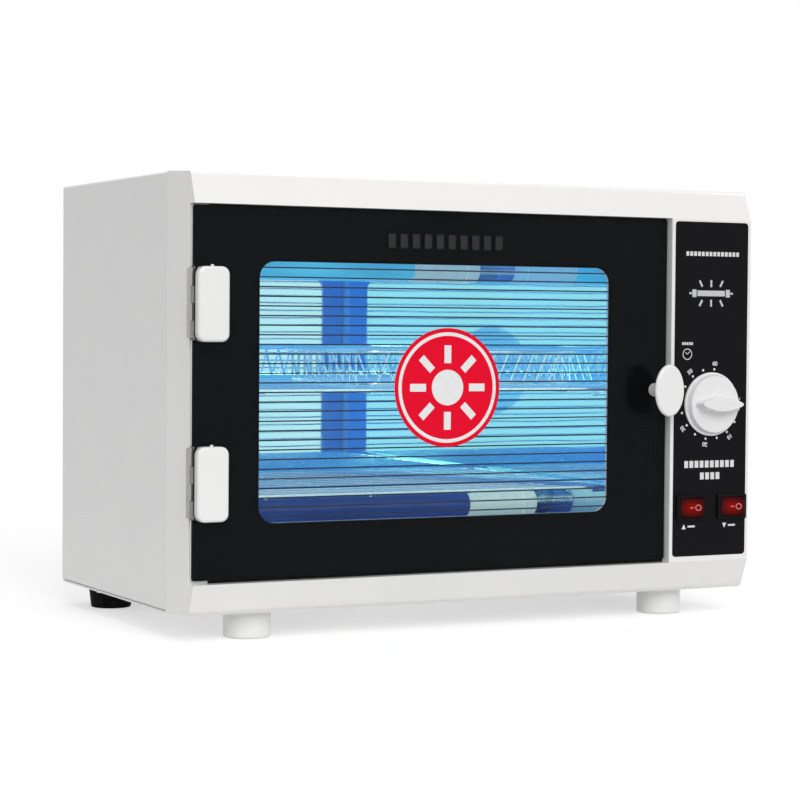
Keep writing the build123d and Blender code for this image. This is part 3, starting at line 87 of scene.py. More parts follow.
# ---- Materials ---------------------------------------------------------------
class Look:
    """A node material. Its patterns use object coordinates, in metres, so they move with the part."""

    def __init__(self, name, flat=False):
        self.material = bpy.data.materials.new(name)
        self.material.use_nodes = True
        self.tree = self.material.node_tree
        self.shader = self.tree.nodes["Principled BSDF"]
        self.output = self.tree.nodes["Material Output"]
        self.place = self.add("ShaderNodeTexCoord").outputs["Object"]
        facet = self.add("ShaderNodeNewGeometry").outputs["True Normal"]
        self.facing = {"Normal": facet} if flat else {}

    def add(self, kind, inputs=None, **settings):
        """A new node of this kind, with its settings and inputs filled in."""
        made = self.tree.nodes.new(kind)
        for key, value in settings.items():
            setattr(made, key, value)
        self.fill(made, inputs or {})
        return made

    def fill(self, target, inputs):
        """Links or sets a node's inputs by name; a colour is given as three channels."""
        for key, value in inputs.items():
            if isinstance(value, bpy.types.NodeSocket):
                self.tree.links.new(value, target.inputs[key])
            elif isinstance(value, tuple) and len(value) == 3 and target.inputs[key].type == "RGBA":
                target.inputs[key].default_value = (*value, 1.0)
            else:
                target.inputs[key].default_value = value

    def surface(self, inputs):
        """Fills the inputs of the main shader."""
        self.fill(self.shader, inputs)
        return self

    def noise(self, size, detail=2.0, stretch=(1.0, 1.0, 1.0)):
        """Noise whose features are about size metres across."""
        place = self.add("ShaderNodeMapping", {"Vector": self.place, "Scale": stretch})
        made = self.add(
            "ShaderNodeTexNoise", {"Vector": place.outputs[0], "Scale": 1.0 / size, "Detail": detail}
        )
        return made.outputs[0]

    def spread(self, value, low, high, start=0.3, end=0.7):
        """Maps a pattern's values from start to end onto low to high."""
        made = self.add(
            "ShaderNodeMapRange",
            {"Value": value, "From Min": start, "From Max": end, "To Min": low, "To Max": high},
        )
        return made.outputs[0]

    def blend(self, factor, first, second):
        """Colour that is first where factor is 0 and second where it is 1."""
        made = self.add("ShaderNodeMix", data_type="RGBA")
        self.fill_sockets(made, factor, first, second)
        return made.outputs[2]

    def fill_sockets(self, made, factor, first, second):
        """A colour mix node names its inputs for several data types alike, so they go in by number."""
        pairs = ((made.inputs[0], factor), (made.inputs[6], first), (made.inputs[7], second))
        for socket, value in pairs:
            if isinstance(value, bpy.types.NodeSocket):
                self.tree.links.new(value, socket)
            elif isinstance(value, tuple):
                socket.default_value = (*value, 1.0)
            else:
                socket.default_value = value

    def ramp(self, value, stops):
        """Colour that runs through (position, colour) stops as value goes from 0 to 1."""
        made = self.add("ShaderNodeValToRGB", {"Fac": value})
        elements = made.color_ramp.elements
        for _ in range(len(stops) - len(elements)):
            elements.new(1.0)
        for element, (position, color) in zip(elements, stops):
            element.position = position
            element.color = (*color, 1.0)
        return made.outputs["Color"]

    def sum(self, first, second, kind="ADD"):
        """Two patterns or numbers added, or joined by another kind of arithmetic."""
        made = self.add("ShaderNodeMath", operation=kind)
        for socket, value in zip(made.inputs, (first, second)):
            if isinstance(value, bpy.types.NodeSocket):
                self.tree.links.new(value, socket)
            else:
                socket.default_value = value
        return made.outputs[0]

    def axis(self, name):
        """One coordinate of the surface point, in metres."""
        return self.add("ShaderNodeSeparateXYZ", {"Vector": self.place}).outputs[name]

    def bump(self, height, depth):
        """Normal from a height pattern that is depth metres from its lowest to its highest."""
        inputs = {"Height": height, "Distance": depth, "Strength": 1.0, **self.facing}
        return self.add("ShaderNodeBump", inputs).outputs[0]

    def edge_wear(self, width, amount):
        """A mask, up to amount, along edges sharper than the bevel width."""
        soft = self.add("ShaderNodeBevel", {"Radius": width}, samples=4).outputs[0]
        sharp = self.add("ShaderNodeNewGeometry").outputs["Normal"]
        match = self.add("ShaderNodeVectorMath", {0: soft, 1: sharp}, operation="DOT_PRODUCT")
        return self.spread(match.outputs["Value"], amount, 0.0, 0.75, 0.995)


def shade(color, factor):
    """The colour made lighter or darker."""
    return tuple(min(1.0, channel * factor) for channel in color)


def moulded(name, color, roughness, coat=0.0, drift=0.04, shine=0.5):
    """Moulded plastic: slow colour drift, uneven gloss, a fine grain and slightly rubbed edges."""
    look = Look(name)
    slow = look.spread(look.noise(60 * MM), 0.0, 1.0)
    tone = look.blend(slow, shade(color, 1 - drift), shade(color, 1 + drift))
    rubbed = look.blend(look.edge_wear(0.5 * MM, 0.35), tone, shade(color, 1.15))
    patchy = look.spread(look.noise(9 * MM, 4.0), roughness * 0.85, roughness * 1.2)
    look.surface(
        {
            "Base Color": rubbed,
            "Roughness": patchy,
            "Specular IOR Level": shine,
            "Normal": look.bump(look.noise(0.6 * MM, 3.0), 0.004 * MM),
            "Coat Weight": coat,
            "Coat Roughness": 0.06,
        }
    )
    return look.material


def enamel(name, color):
    """Baked enamel on sheet steel: orange peel, a faint handling haze and dulled folds."""
    look = Look(name)
    haze = look.spread(look.noise(45 * MM, 4.0), 0.0, 1.0)
    tone = look.blend(haze, shade(color, 0.975), shade(color, 1.02))
    folded = look.blend(look.edge_wear(0.8 * MM, 0.5), tone, shade(color, 0.88))
    peel = look.sum(look.noise(1.6 * MM, 1.0), look.sum(look.noise(0.35 * MM, 2.0), 0.25, "MULTIPLY"))
    look.surface(
        {
            "Base Color": folded,
            "Roughness": look.spread(haze, 0.30, 0.40, 0.0, 1.0),
            "Normal": look.bump(peel, 0.012 * MM),
            "Coat Weight": 0.25,
            "Coat Roughness": 0.12,
        }
    )
    return look.material


def metal(name, color, roughness, grain=(1.0, 1.0, 1.0), size=0.3 * MM):
    """Bare or plated metal with fine scratches stretched along one axis and a few dull patches."""
    look = Look(name)
    dull = look.spread(look.noise(6 * MM, 4.0), 0.0, 1.0)
    look.surface(
        {
            "Base Color": look.blend(dull, color, shade(color, 0.86)),
            "Metallic": 1.0,
            "Roughness": look.spread(dull, roughness * 0.8, roughness * 1.4, 0.0, 1.0),
            "Normal": look.bump(look.noise(size, 3.0, grain), 0.003 * MM),
        }
    )
    return look.material


def lit_wire(name):
    """Plated wire, tinted cyan and given a painted glow that stands for the lamps' light on it, more of it higher
    up.
    """
    look = Look(name)
    dull = look.spread(look.noise(6 * MM, 4.0), 0.0, 1.0)
    look.surface(
        {
            # Painted light: the plating's colour is tinted cyan by the lamps' light.
            "Base Color": look.blend(dull, (0.80, 0.93, 0.96), (0.62, 0.78, 0.84)),
            "Metallic": 1.0,
            "Roughness": look.spread(dull, 0.16, 0.28, 0.0, 1.0),
            "Normal": look.bump(look.noise(0.6 * MM, 3.0), 0.003 * MM),
            # Painted glow, stronger higher up, standing for the lamps' light on the wires.
            "Emission Color": (0.45, 0.90, 1.0),
            "Emission Strength": look.spread(look.axis("Z"), 0.01, 0.22, 70 * MM, 125 * MM),
        }
    )
    return look.material


def rubber(name, color):
    """Dull rubber with a fine pebbled skin and a little pale dust."""
    look = Look(name)
    dust = look.spread(look.noise(4 * MM, 6.0), 0.0, 0.35, 0.55, 0.8)
    look.surface(
        {
            "Base Color": look.blend(dust, color, (0.05, 0.05, 0.048)),
            "Roughness": look.spread(look.noise(1.2 * MM), 0.55, 0.75),
            "Specular IOR Level": 0.05,
            "Normal": look.bump(look.noise(0.5 * MM, 2.0), 0.03 * MM),
        }
    )
    return look.material


def clear_pane(name, tint, gleam):
    """Thin clear pane: sight and light go straight through, and gleam scales its surface mirroring."""
    look = Look(name, flat=True)
    pass_through = look.add("ShaderNodeBsdfTransparent", {"Color": tint})
    smear = look.spread(look.noise(30 * MM, 5.0), 0.0, 1.0)
    shine = look.add(
        "ShaderNodeBsdfGlossy",
        {"Color": (1.0, 1.0, 1.0), "Roughness": look.spread(smear, 0.01, 0.05, 0.0, 1.0), **look.facing},
    )
    facing = look.add("ShaderNodeFresnel", {"IOR": 1.5}).outputs[0]
    strength = look.sum(facing, look.spread(smear, gleam * 0.9, gleam * 1.1, 0.0, 1.0), "MULTIPLY")
    both = look.add("ShaderNodeMixShader", {0: strength})
    look.tree.links.new(pass_through.outputs[0], both.inputs[1])
    look.tree.links.new(shine.outputs[0], both.inputs[2])
    look.tree.links.new(both.outputs[0], look.output.inputs["Surface"])
    return look.material


def quartz_tube(name):
    """Dark, smooth lamp glass that carries a dim blue light, brighter in the upper lamp, whose glass colour is
    also painted a lighter cyan as painted light.
    """
    look = Look(name)
    height = look.spread(look.axis("Z"), 0.0, 1.0, liner_low.z, liner_high.z)
    streak = look.spread(look.noise(12 * MM, 3.0, (0.2, 1.0, 1.0)), 0.8, 1.2)
    look.surface(
        {
            # Painted light: the upper lamp's glass colour is painted a lighter cyan than the lower lamp's navy.
            "Base Color": look.ramp(height, ((0.3, (0.02, 0.04, 0.12)), (0.7, (0.10, 0.30, 0.42)))),
            "Roughness": look.spread(look.noise(4 * MM, 3.0), 0.06, 0.14),
            "Emission Color": look.ramp(height, ((0.3, (0.012, 0.03, 0.13)), (0.7, (0.06, 0.34, 0.50)))),
            "Emission Strength": streak,
        }
    )
    return look.material


def chamber_steel(name):
    """Mirror-polished sheet, grey outside; inside, the lamps' light is painted on: it tints what it mirrors, with
    painted shade towards the top and bottom, and it has a painted blue glow, fainter at the bottom.
    """
    look = Look(name)
    height = look.spread(look.axis("Z"), 0.0, 1.0, liner_low.z, liner_high.z)
    # Painted light: the mirror colour runs from deep painted shade at the bottom through the lamps' cyan tint to
    # painted shade at the top.
    mirror_painted_light_stops = ((0.10, MIRROR_PAINTED_DEEP_SHADE), (0.22, MIRROR_PAINTED_LAMP_TINT), (0.86, MIRROR_PAINTED_LAMP_TINT), (0.95, MIRROR_PAINTED_SHADE))
    middle = tuple((liner_low + liner_high) / 2)
    to_middle = look.add("ShaderNodeVectorMath", {0: middle, 1: look.place}, operation="SUBTRACT").outputs[0]
    facet = look.add("ShaderNodeNewGeometry").outputs["True Normal"]
    towards = look.add("ShaderNodeVectorMath", {0: facet, 1: to_middle}, operation="DOT_PRODUCT")
    inside = look.spread(towards.outputs["Value"], 0.0, 1.0, -0.1 * MM, 0.1 * MM)
    drift = look.spread(look.noise(70 * MM, 1.0), 0.85, 1.15)
    look.surface(
        {
            "Base Color": look.blend(inside, (0.6, 0.6, 0.62), look.ramp(height, mirror_painted_light_stops)),
            "Metallic": 1.0,
            "Roughness": look.spread(look.noise(20 * MM, 3.0), 0.015, 0.04),
            "Normal": look.bump(look.noise(90 * MM, 1.0, (1.0, 1.0, 2.5)), 0.05 * MM),
            # Painted glow: the liner glows blue as if lit by the lamps, though it is no lamp.
            "Emission Color": look.ramp(height, ((0.08, PAINTED_GLOW_DEEP), (0.35, PAINTED_GLOW_BLUE))),
            "Emission Strength": look.sum(inside, drift, "MULTIPLY"),
        }
    )
    return look.material


def printed(name, color, roughness=0.45, shine=0.3):
    """Screen-printed ink on a flat face: slightly broken tone and a dry surface."""
    look = Look(name, flat=True)
    tone = look.blend(look.spread(look.noise(0.8 * MM, 3.0), 0.0, 1.0), shade(color, 0.88), color)
    look.surface(
        {
            "Base Color": tone,
            "Roughness": roughness,
            "Specular IOR Level": shine,
            "Normal": look.bump(look.noise(2.0 * MM, 2.0), 0.002 * MM),
        }
    )
    return look.material


def translucent_red(name):
    """Clear red rocker over a dark switch, with a painted highlight that makes it bright in its middle and painted
    shade that makes it nearly black at its rim.
    """
    look = Look(name)
    over_box = look.add("ShaderNodeTexCoord").outputs["Generated"]
    across = look.add("ShaderNodeSeparateXYZ", {"Vector": over_box})
    # Painted light: a mask that is 1 in the rocker's middle, for the painted highlight, and falls to 0 at its rim,
    # for the painted shade.
    depth = 1.0
    for axis in ("X", "Z"):
        off = look.sum(across.outputs[axis], 0.5, "SUBTRACT")
        distance = look.add("ShaderNodeMath", {0: off}, operation="ABSOLUTE").outputs[0]
        depth = look.sum(depth, look.spread(distance, 1.0, 0.0, 0.10, 0.52), "MULTIPLY")
    speck = look.spread(look.noise(1.5 * MM, 3.0), 0.9, 1.1)
    painted_light = look.sum(depth, speck, "MULTIPLY")
    look.surface(
        {
            "Base Color": look.blend(painted_light, (0.010, 0.001, 0.001), (0.24, 0.004, 0.003)),
            "Roughness": look.spread(look.noise(3 * MM), 0.18, 0.3),
            "Specular IOR Level": 0.06,
            "Normal": look.bump(look.noise(0.6 * MM, 3.0), 0.002 * MM),
        }
    )
    return look.material


def sticker_film(name, color):
    """Printed film: the colour on its face, and bare white stock on its back, with a painted glow on the back that
    stands for the chamber's light.
    """
    look = Look(name)
    half_way = (sticker_low.y + sticker_high.y) / 2
    seam = 0.02 * MM  # the colours meet this close to the middle of the film's thickness
    back_face = look.spread(look.axis("Y"), 0.0, 1.0, half_way - seam, half_way + seam)
    from_inside = look.add("ShaderNodeNewGeometry").outputs["Backfacing"]
    back = look.sum(back_face, from_inside, "MAXIMUM")
    fibre = look.spread(look.noise(0.8 * MM, 3.0), 0.0, 1.0)
    stock = look.blend(fibre, (0.72, 0.78, 0.80), (0.78, 0.84, 0.86))
    look.surface(
        {
            "Base Color": look.blend(back, look.blend(fibre, shade(color, 0.88), color), stock),
            "Roughness": 0.4,
            "Specular IOR Level": 0.1,
            # Painted glow on the back, standing for the chamber's light on the bare stock.
            "Emission Color": (0.62, 0.86, 0.94),
            "Emission Strength": look.sum(back, 0.5, "MULTIPLY"),
            "Normal": look.bump(look.noise(2.0 * MM, 2.0), 0.002 * MM),
        }
    )
    return look.material


def backing_plastic(name):
    """White door frame; where the chamber's mirror shows its inner face, that face is painted the blue of the
    lamps' light.
    """
    look = Look(name)
    normal = look.add("ShaderNodeTexCoord").outputs["Normal"]
    backwards = look.add("ShaderNodeSeparateXYZ", {"Vector": normal}).outputs["Y"]
    inner = look.spread(backwards, 0.0, 1.0, 0.5, 0.9)
    # Painted light: the inner face takes the lamps' blue only in mirrored rays.
    mirrored = look.add("ShaderNodeLightPath").outputs["Is Glossy Ray"]
    painted_blue_where_mirrored = look.sum(inner, mirrored, "MULTIPLY")
    haze = look.spread(look.noise(25 * MM, 3.0), 0.0, 1.0)
    painted_light = look.blend(haze, (0.46, 0.58, 0.80), (0.52, 0.63, 0.83))
    look.surface(
        {
            "Base Color": look.blend(painted_blue_where_mirrored, (0.85, 0.86, 0.86), painted_light),
            "Roughness": look.spread(haze, 0.3, 0.42, 0.0, 1.0),
            "Specular IOR Level": 0.2,
            "Normal": look.bump(look.noise(0.6 * MM, 3.0), 0.004 * MM),
        }
    )
    return look.material


def cream_ceramic(name):
    """Glazed lamp caps with a painted glow that stands for the lamps' light on them."""
    look = Look(name)
    mottle = look.spread(look.noise(5 * MM, 4.0), 0.0, 1.0)
    look.surface(
        {
            "Base Color": look.blend(mottle, (0.78, 0.75, 0.62), (0.84, 0.82, 0.72)),
            "Roughness": look.spread(mottle, 0.25, 0.35, 0.0, 1.0),
            "Normal": look.bump(look.noise(1.5 * MM), 0.01 * MM),
            # Painted glow: the caps are no lamps; this stands for the lamps' light on them.
            "Emission Color": (0.62, 0.85, 0.80),
            "Emission Strength": 0.30,
        }
    )
    return look.material


FINISHES = {
    "case_paint": enamel("case_enamel", (0.84, 0.84, 0.83)),
    "base_steel": enamel("base_enamel", (0.78, 0.78, 0.77)),
    "bezel_white": moulded("bezel_gloss_white", (0.85, 0.845, 0.83), 0.22, coat=0.5, drift=0.015),
    "panel_black": moulded("panel_charcoal", (0.006, 0.006, 0.007), 0.32, shine=0.06),
    "mirror_steel": chamber_steel("chamber_mirror_steel_painted_light"),
    "seal_foam": rubber("seal_foam_black", (0.01, 0.01, 0.011)),
    "black_plastic": moulded("black_moulding", (0.006, 0.006, 0.007), 0.4, shine=0.06),
    "rubber_black": rubber("foot_rubber", (0.006, 0.006, 0.006)),
    "zinc": metal("zinc_plate", (0.62, 0.62, 0.64), 0.22),
    "chrome_wire": lit_wire("plated_wire_painted_glow"),
    "lamp_glass": quartz_tube("lamp_quartz"),
    "lamp_cream": cream_ceramic("cream_ceramic"),
    "white_plastic": moulded("white_gloss_moulding", (0.86, 0.86, 0.85), 0.2, coat=0.4, drift=0.012),
    "backing_white": backing_plastic("backing_white"),
    "door_glass": clear_pane("door_float_glass", (0.93, 0.98, 0.97), 0.12),
    "border_black": printed("border_print_black", (0.003, 0.003, 0.0035), 0.5, shine=0.03),
    "sticker_red": sticker_film("sticker_red_film", (0.88, 0.003, 0.028)),
    "rocker_red": translucent_red("rocker_dark_red"),
    "knob_white": moulded("knob_satin_white", (0.84, 0.84, 0.84), 0.28, coat=0.2, drift=0.012),
    "brass": metal("plain_brass", (0.80, 0.62, 0.28), 0.25),
    "choke_iron": metal("varnished_laminations", (0.20, 0.20, 0.22), 0.45, (1.0, 0.05, 1.0), 0.5 * MM),
    "starter_grey": metal("starter_can", (0.72, 0.72, 0.74), 0.3, (1.0, 1.0, 0.05)),
    "wire_insulation": moulded("wire_insulation", (0.72, 0.71, 0.66), 0.4),
    "cord_black": moulded("cord_pvc_black", (0.012, 0.012, 0.012), 0.45, shine=0.2),
}


def dress(obj, material):
    """Gives the whole object one material."""
    obj.data.materials.clear()
    obj.data.materials.append(material)


for entry in frame["record"]["subparts"]:
    dress(nodes[entry["node"]], FINISHES[entry["material_slot"]])
# The stem is the same cream as the lamp caps, but without their painted glow.
dress(nodes["handle_stem"], moulded("stem_cream", (0.80, 0.78, 0.71), 0.3))
hinge_steel = metal("rolled_hinge_steel", (0.40, 0.39, 0.37), 0.16, (1.0, 1.0, 0.1))
for level in ("upper", "lower"):
    for piece in ("case_leaf", "door_leaf", "pin"):
        dress(nodes[f"{level}_hinge_{piece}"], hinge_steel)


# ---- Softened edges on the frame's own parts ------------------------------------
def soften(name, width):
    """Welds a part's facets and rolls its sharp edges, so that they catch the light."""
    part = nodes[name]
    weld = part.modifiers.new("weld", "WELD")
    weld.merge_threshold = 0.001 * MM
    bevel = part.modifiers.new("edge_roll", "BEVEL")
    bevel.width = width
    bevel.segments = 3
    bevel.limit_method = "ANGLE"
    bevel.angle_limit = radians(35)
    bevel.harden_normals = True


for part_name, roll in {
    "front_bezel": 0.7 * MM,
    "control_plate": 0.25 * MM,
    "rear_panel": 0.3 * MM,
    "upper_hinge_cover": 0.3 * MM,
    "lower_hinge_cover": 0.3 * MM,
}.items():
    soften(part_name, roll)


# ---- Mesh helpers ---------------------------------------------------------------
def add_piece(name, mesh, material, body, smooth=False):
    """Makes an object of a mesh that is already in the row frame, and rides it on a body."""
    mesh.name = name
    obj = bpy.data.objects.new(name, mesh)
    bpy.context.scene.collection.objects.link(obj)
    dress(obj, material)
    mesh.polygons.foreach_set("use_smooth", [smooth] * len(mesh.polygons))
    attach(obj, body)
    return obj


def disc(centre, radius, points=40):
    """Points round a circle in front view."""
    return [
        (centre[0] + radius * cos(2 * pi * i / points), centre[1] + radius * sin(2 * pi * i / points))
        for i in range(points)
    ]


def bar(centre, length, height, angle=0.0):
    """Corners of a bar turned by angle degrees, anticlockwise as seen from the front."""
    a = radians(angle)
    corners = ((-1, -1), (1, -1), (1, 1), (-1, 1))
    return [
        (
            centre[0] + cos(a) * u * length / 2 - sin(a) * v * height / 2,
            centre[1] + sin(a) * u * length / 2 + cos(a) * v * height / 2,
        )
        for u, v in corners
    ]


def polar(centre, radius, angle):
    """Point at an angle in degrees, anticlockwise from the right as seen from the front."""
    return (centre[0] + radius * cos(radians(angle)), centre[1] + radius * sin(radians(angle)))


def prism(target, outline, back, thickness, hole=None):
    """Closed plate in front view, from y = back towards the viewer; hole has as many points as outline."""

    def lay(points, y):
        return [target.verts.new((x, y, z)) for x, z in points]

    count = len(outline)
    rear, front = lay(outline, back), lay(outline, back - thickness)
    loops = [(rear, front)]
    if hole is None:
        target.faces.new(front)
        target.faces.new(rear[::-1])
    else:
        inner_rear, inner_front = lay(hole, back), lay(hole, back - thickness)
        loops.append((inner_rear, inner_front))
        for i in range(count):
            j = (i + 1) % count
            target.faces.new((front[i], front[j], inner_front[j], inner_front[i]))
            target.faces.new((rear[j], rear[i], inner_rear[i], inner_rear[j]))
    for back_loop, front_loop in loops:
        for i in range(count):
            j = (i + 1) % count
            target.faces.new((back_loop[i], back_loop[j], front_loop[j], front_loop[i]))


def relief(shapes, back, thickness):
    """One mesh of flat closed shapes; each shape is an outline or an (outline, hole) pair."""
    work = bmesh.new()
    for shape in shapes:
        outline, hole = shape if isinstance(shape, tuple) else (shape, None)
        prism(work, outline, back, thickness, hole)
    bmesh.ops.recalc_face_normals(work, faces=work.faces)
    mesh = bpy.data.meshes.new("relief")
    work.to_mesh(mesh)
    work.free()
    return mesh


BOLDNESS = 0.025  # how far the numbers' strokes are fattened, as a share of their height


def numeral(text, height, centre, angle, back, thickness):
    """Solid number in the built-in typeface, centred and turned in front view."""
    curve = bpy.data.curves.new("numeral", "FONT")
    curve.body = text
    curve.size = height
    curve.extrude = thickness / 2
    curve.offset = height * BOLDNESS
    curve.align_x = "CENTER"
    curve.align_y = "CENTER"
    shown = bpy.data.objects.new("numeral", curve)
    bpy.context.scene.collection.objects.link(shown)
    mesh = bpy.data.meshes.new_from_object(shown.evaluated_get(bpy.context.evaluated_depsgraph_get()))
    bpy.data.objects.remove(shown)
    stand = Matrix.Rotation(radians(90), 4, "X")
    turn = Matrix.Rotation(radians(-angle), 4, "Y")
    shift = Matrix.Translation((centre[0], back - thickness / 2, centre[1]))
    mesh.transform(shift @ turn @ stand)
    return mesh


def merged(meshes):
    """One mesh of several, with doubled points welded."""
    work = bmesh.new()
    for mesh in meshes:
        work.from_mesh(mesh)
    bmesh.ops.remove_doubles(work, verts=work.verts, dist=0.0005 * MM)
    out = bpy.data.meshes.new("merged")
    work.to_mesh(out)
    work.free()
    return out


def wires(runs):
    """One mesh of round wires; each run is (points, radius, closed)."""
    curve = bpy.data.curves.new("wires", "CURVE")
    curve.dimensions = "3D"
    curve.bevel_depth = MM
    curve.bevel_resolution = 3
    curve.use_fill_caps = True
    for points, radius, closed in runs:
        spline = curve.splines.new("POLY")
        spline.points.add(len(points) - 1)
        for point, place in zip(spline.points, points):
            point.co = (*place, 1.0)
            point.radius = radius / MM
        spline.use_cyclic_u = closed
    shown = bpy.data.objects.new("wires", curve)
    bpy.context.scene.collection.objects.link(shown)
    mesh = bpy.data.meshes.new_from_object(shown.evaluated_get(bpy.context.evaluated_depsgraph_get()))
    bpy.data.objects.remove(shown)
    return mesh


def rounded_loop(low, high, z, corner, steps=5):
    """Points round a rectangle with rounded corners, at height z."""
    points = []
    for x, y, start in (
        (high[0] - corner, high[1] - corner, 0),
        (low[0] + corner, high[1] - corner, 90),
        (low[0] + corner, low[1] + corner, 180),
        (high[0] - corner, low[1] + corner, 270),
    ):
        for i in range(steps + 1):
            angle = radians(start + 90 * i / steps)
            points.append((x + corner * cos(angle), y + corner * sin(angle), z))
    return points


# ---- Wire basket ------------------------------------------------------------------
RIM_WIRE = 1.1 * MM
MESH_WIRE = 0.75 * MM
BASKET_CORNER = 10 * MM
SIDE_PITCH = 9 * MM
LEAN = 6.5 * MM  # how far each side wire leans on its way up
FLOOR_PITCH = 10 * MM
CARRIER_PITCH = 3 * FLOOR_PITCH  # the wires under the floor wires, which run the other way
TAPER = 3 * MM  # the basket's foot is narrower than its rim


def side_wires(start, end, low_z, high_z, inward):
    """Parallel leaning wires between the two rims along one side; start to end runs round the basket."""
    along = (Vector(end) - Vector(start)).normalized()
    length = (Vector(end) - Vector(start)).length
    runs = []
    for i in range(int((length - LEAN) / SIDE_PITCH) + 1):
        foot = Vector(start) + along * i * SIDE_PITCH + Vector(inward)
        head = Vector(start) + along * (i * SIDE_PITCH + LEAN)
        runs.append(([(foot.x, foot.y, low_z), (head.x, head.y, high_z)], MESH_WIRE, False))
    return runs


def basket():
    """Two round-cornered rims joined by leaning side wires, with a floor of straight wires."""
    low = (basket_low.x + RIM_WIRE, basket_low.y + RIM_WIRE)
    high = (basket_high.x - RIM_WIRE, basket_high.y - RIM_WIRE)
    foot_in = (low[0] + TAPER, low[1] + TAPER)
    foot_out = (high[0] - TAPER, high[1] - TAPER)
    top = basket_high.z - RIM_WIRE
    bottom = basket_low.z + RIM_WIRE
    runs = [
        (rounded_loop(low, high, top, BASKET_CORNER), RIM_WIRE, True),
        (rounded_loop(foot_in, foot_out, bottom, BASKET_CORNER), RIM_WIRE, True),
    ]
    corner = BASKET_CORNER
    sides = (
        ((low[0] + corner, low[1]), (high[0] - corner, low[1]), (0, TAPER)),
        ((high[0], low[1] + corner), (high[0], high[1] - corner), (-TAPER, 0)),
        ((high[0] - corner, high[1]), (low[0] + corner, high[1]), (0, -TAPER)),
        ((low[0], high[1] - corner), (low[0], low[1] + corner), (TAPER, 0)),
    )
    for start, end, inward in sides:
        runs += side_wires(start, end, bottom, top, inward)
    across = int((foot_out[0] - foot_in[0]) / FLOOR_PITCH)
    for i in range(1, across):
        x = foot_in[0] + (foot_out[0] - foot_in[0]) * i / across
        runs.append(([(x, foot_in[1], bottom), (x, foot_out[1], bottom)], MESH_WIRE, False))
    along = int((foot_out[1] - foot_in[1]) / CARRIER_PITCH)
    for i in range(1, along + 1):
        y = foot_in[1] + (foot_out[1] - foot_in[1]) * i / (along + 1)
        lower = bottom - MESH_WIRE
        runs.append(([(foot_in[0], y, lower), (foot_out[0], y, lower)], MESH_WIRE, False))
    return wires(runs)


woven = add_piece(
    "basket_wirework", basket(), FINISHES["chrome_wire"], "basket", smooth=True
)
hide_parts("wire_basket")


# ---- Lines printed on the window -----------------------------------------------------
WINDOW = {"x": (-142.2 * MM, 83.5 * MM), "z": (51.7 * MM, 196.0 * MM), "corner": 9.0 * MM}
LINE_PITCH = 5.3 * MM
LINE_WIDTH = 0.8 * MM
PRINT = 0.05 * MM  # thickness of a printed layer


def window_reach(z):
    """How far the window's side is from its straight edge at height z, because of the round corners."""
    low, high = WINDOW["z"]
    corner = WINDOW["corner"]
    into = max(0.0, low + corner - z, z - (high - corner))
    return corner - sqrt(max(0.0, corner**2 - into**2))


line_count = int((WINDOW["z"][1] - WINDOW["z"][0]) / LINE_PITCH)
first_line = sum(WINDOW["z"]) / 2 - LINE_PITCH * (line_count - 1) / 2
window_lines = []
for i in range(line_count):
    line_z = first_line + i * LINE_PITCH
    reach = window_reach(line_z)
    ends = (WINDOW["x"][0] + reach, WINDOW["x"][1] - reach)
    window_lines.append(bar((sum(ends) / 2, line_z), ends[1] - ends[0], LINE_WIDTH))
add_piece(
    "window_printed_lines",
    relief(window_lines, glass_high.y + 2 * PRINT, PRINT),
    printed("line_ink_dark", (0.012, 0.02, 0.06)),
    "door",
)

# ---- Sticker on the glass --------------------------------------------------------------
sticker_centre = ((sticker_low.x + sticker_high.x) / 2, (sticker_low.z + sticker_high.z) / 2)
sticker_radius = (sticker_high.x - sticker_low.x) / 2
RING_POINTS = 64
RAYS = 8
# Sizes of the sun sign as shares of the sticker's radius.
RING_OUTER, RING_INNER, SUN_DISC = 0.93, 0.87, 0.30
RAY_PLACE, RAY_LENGTH, RAY_WIDTH = 0.56, 0.30, 0.13
sun = [
    (
        disc(sticker_centre, sticker_radius * RING_OUTER, RING_POINTS),
        disc(sticker_centre, sticker_radius * RING_INNER, RING_POINTS),
    ),
    disc(sticker_centre, sticker_radius * SUN_DISC),
]
for i in range(RAYS):
    ray_angle = 360 * i / RAYS
    middle = polar(sticker_centre, sticker_radius * RAY_PLACE, ray_angle)
    sun.append(bar(middle, sticker_radius * RAY_LENGTH, sticker_radius * RAY_WIDTH, ray_angle))
add_piece(
    "sticker_sun_glyph",
    relief(sun, sticker_low.y, PRINT),
    printed("sticker_white_ink", (0.88, 0.88, 0.88)),
    "door",
)

# ---- Print on the control panel ----------------------------------------------------------
ink_white = printed("panel_ink_white", (0.80, 0.80, 0.80))
ink_silver = printed("panel_ink_silver", (0.62, 0.63, 0.65), 0.3)
dial_centre = ((knob_low.x + knob_high.x) / 2, (knob_low.z + knob_high.z) / 2)
DIAL_DOTS = 21.2 * MM  # radius of the ring of dots
DIAL_NUMBERS = 24.6 * MM  # radius of the ring of numbers
DOT_RADIUS, DOT_POINTS = 0.75 * MM, 20
NUMBER_HEIGHT = 3.6 * MM
ZERO_ANGLE = -9.3  # where the zero dot is, anticlockwise from the right
MINUTE_ANGLE = -4.464  # how far the knob turns for a minute
LAST_MINUTE, DOT_STEP, NUMBER_STEP = 60, 5, 10
ON_ANGLE = 7.0  # where the short tick for the always-on position is
TICK_OUT, TICK_LENGTH, TICK_WIDTH, TICK_SLOPE = 0.4 * MM, 2.2 * MM, 0.4 * MM, 60
panel_shapes = []
panel_meshes = []
for minute in range(0, LAST_MINUTE + DOT_STEP, DOT_STEP):
    dot_place = polar(dial_centre, DIAL_DOTS, ZERO_ANGLE + MINUTE_ANGLE * minute)
    panel_shapes.append(disc(dot_place, DOT_RADIUS, DOT_POINTS))
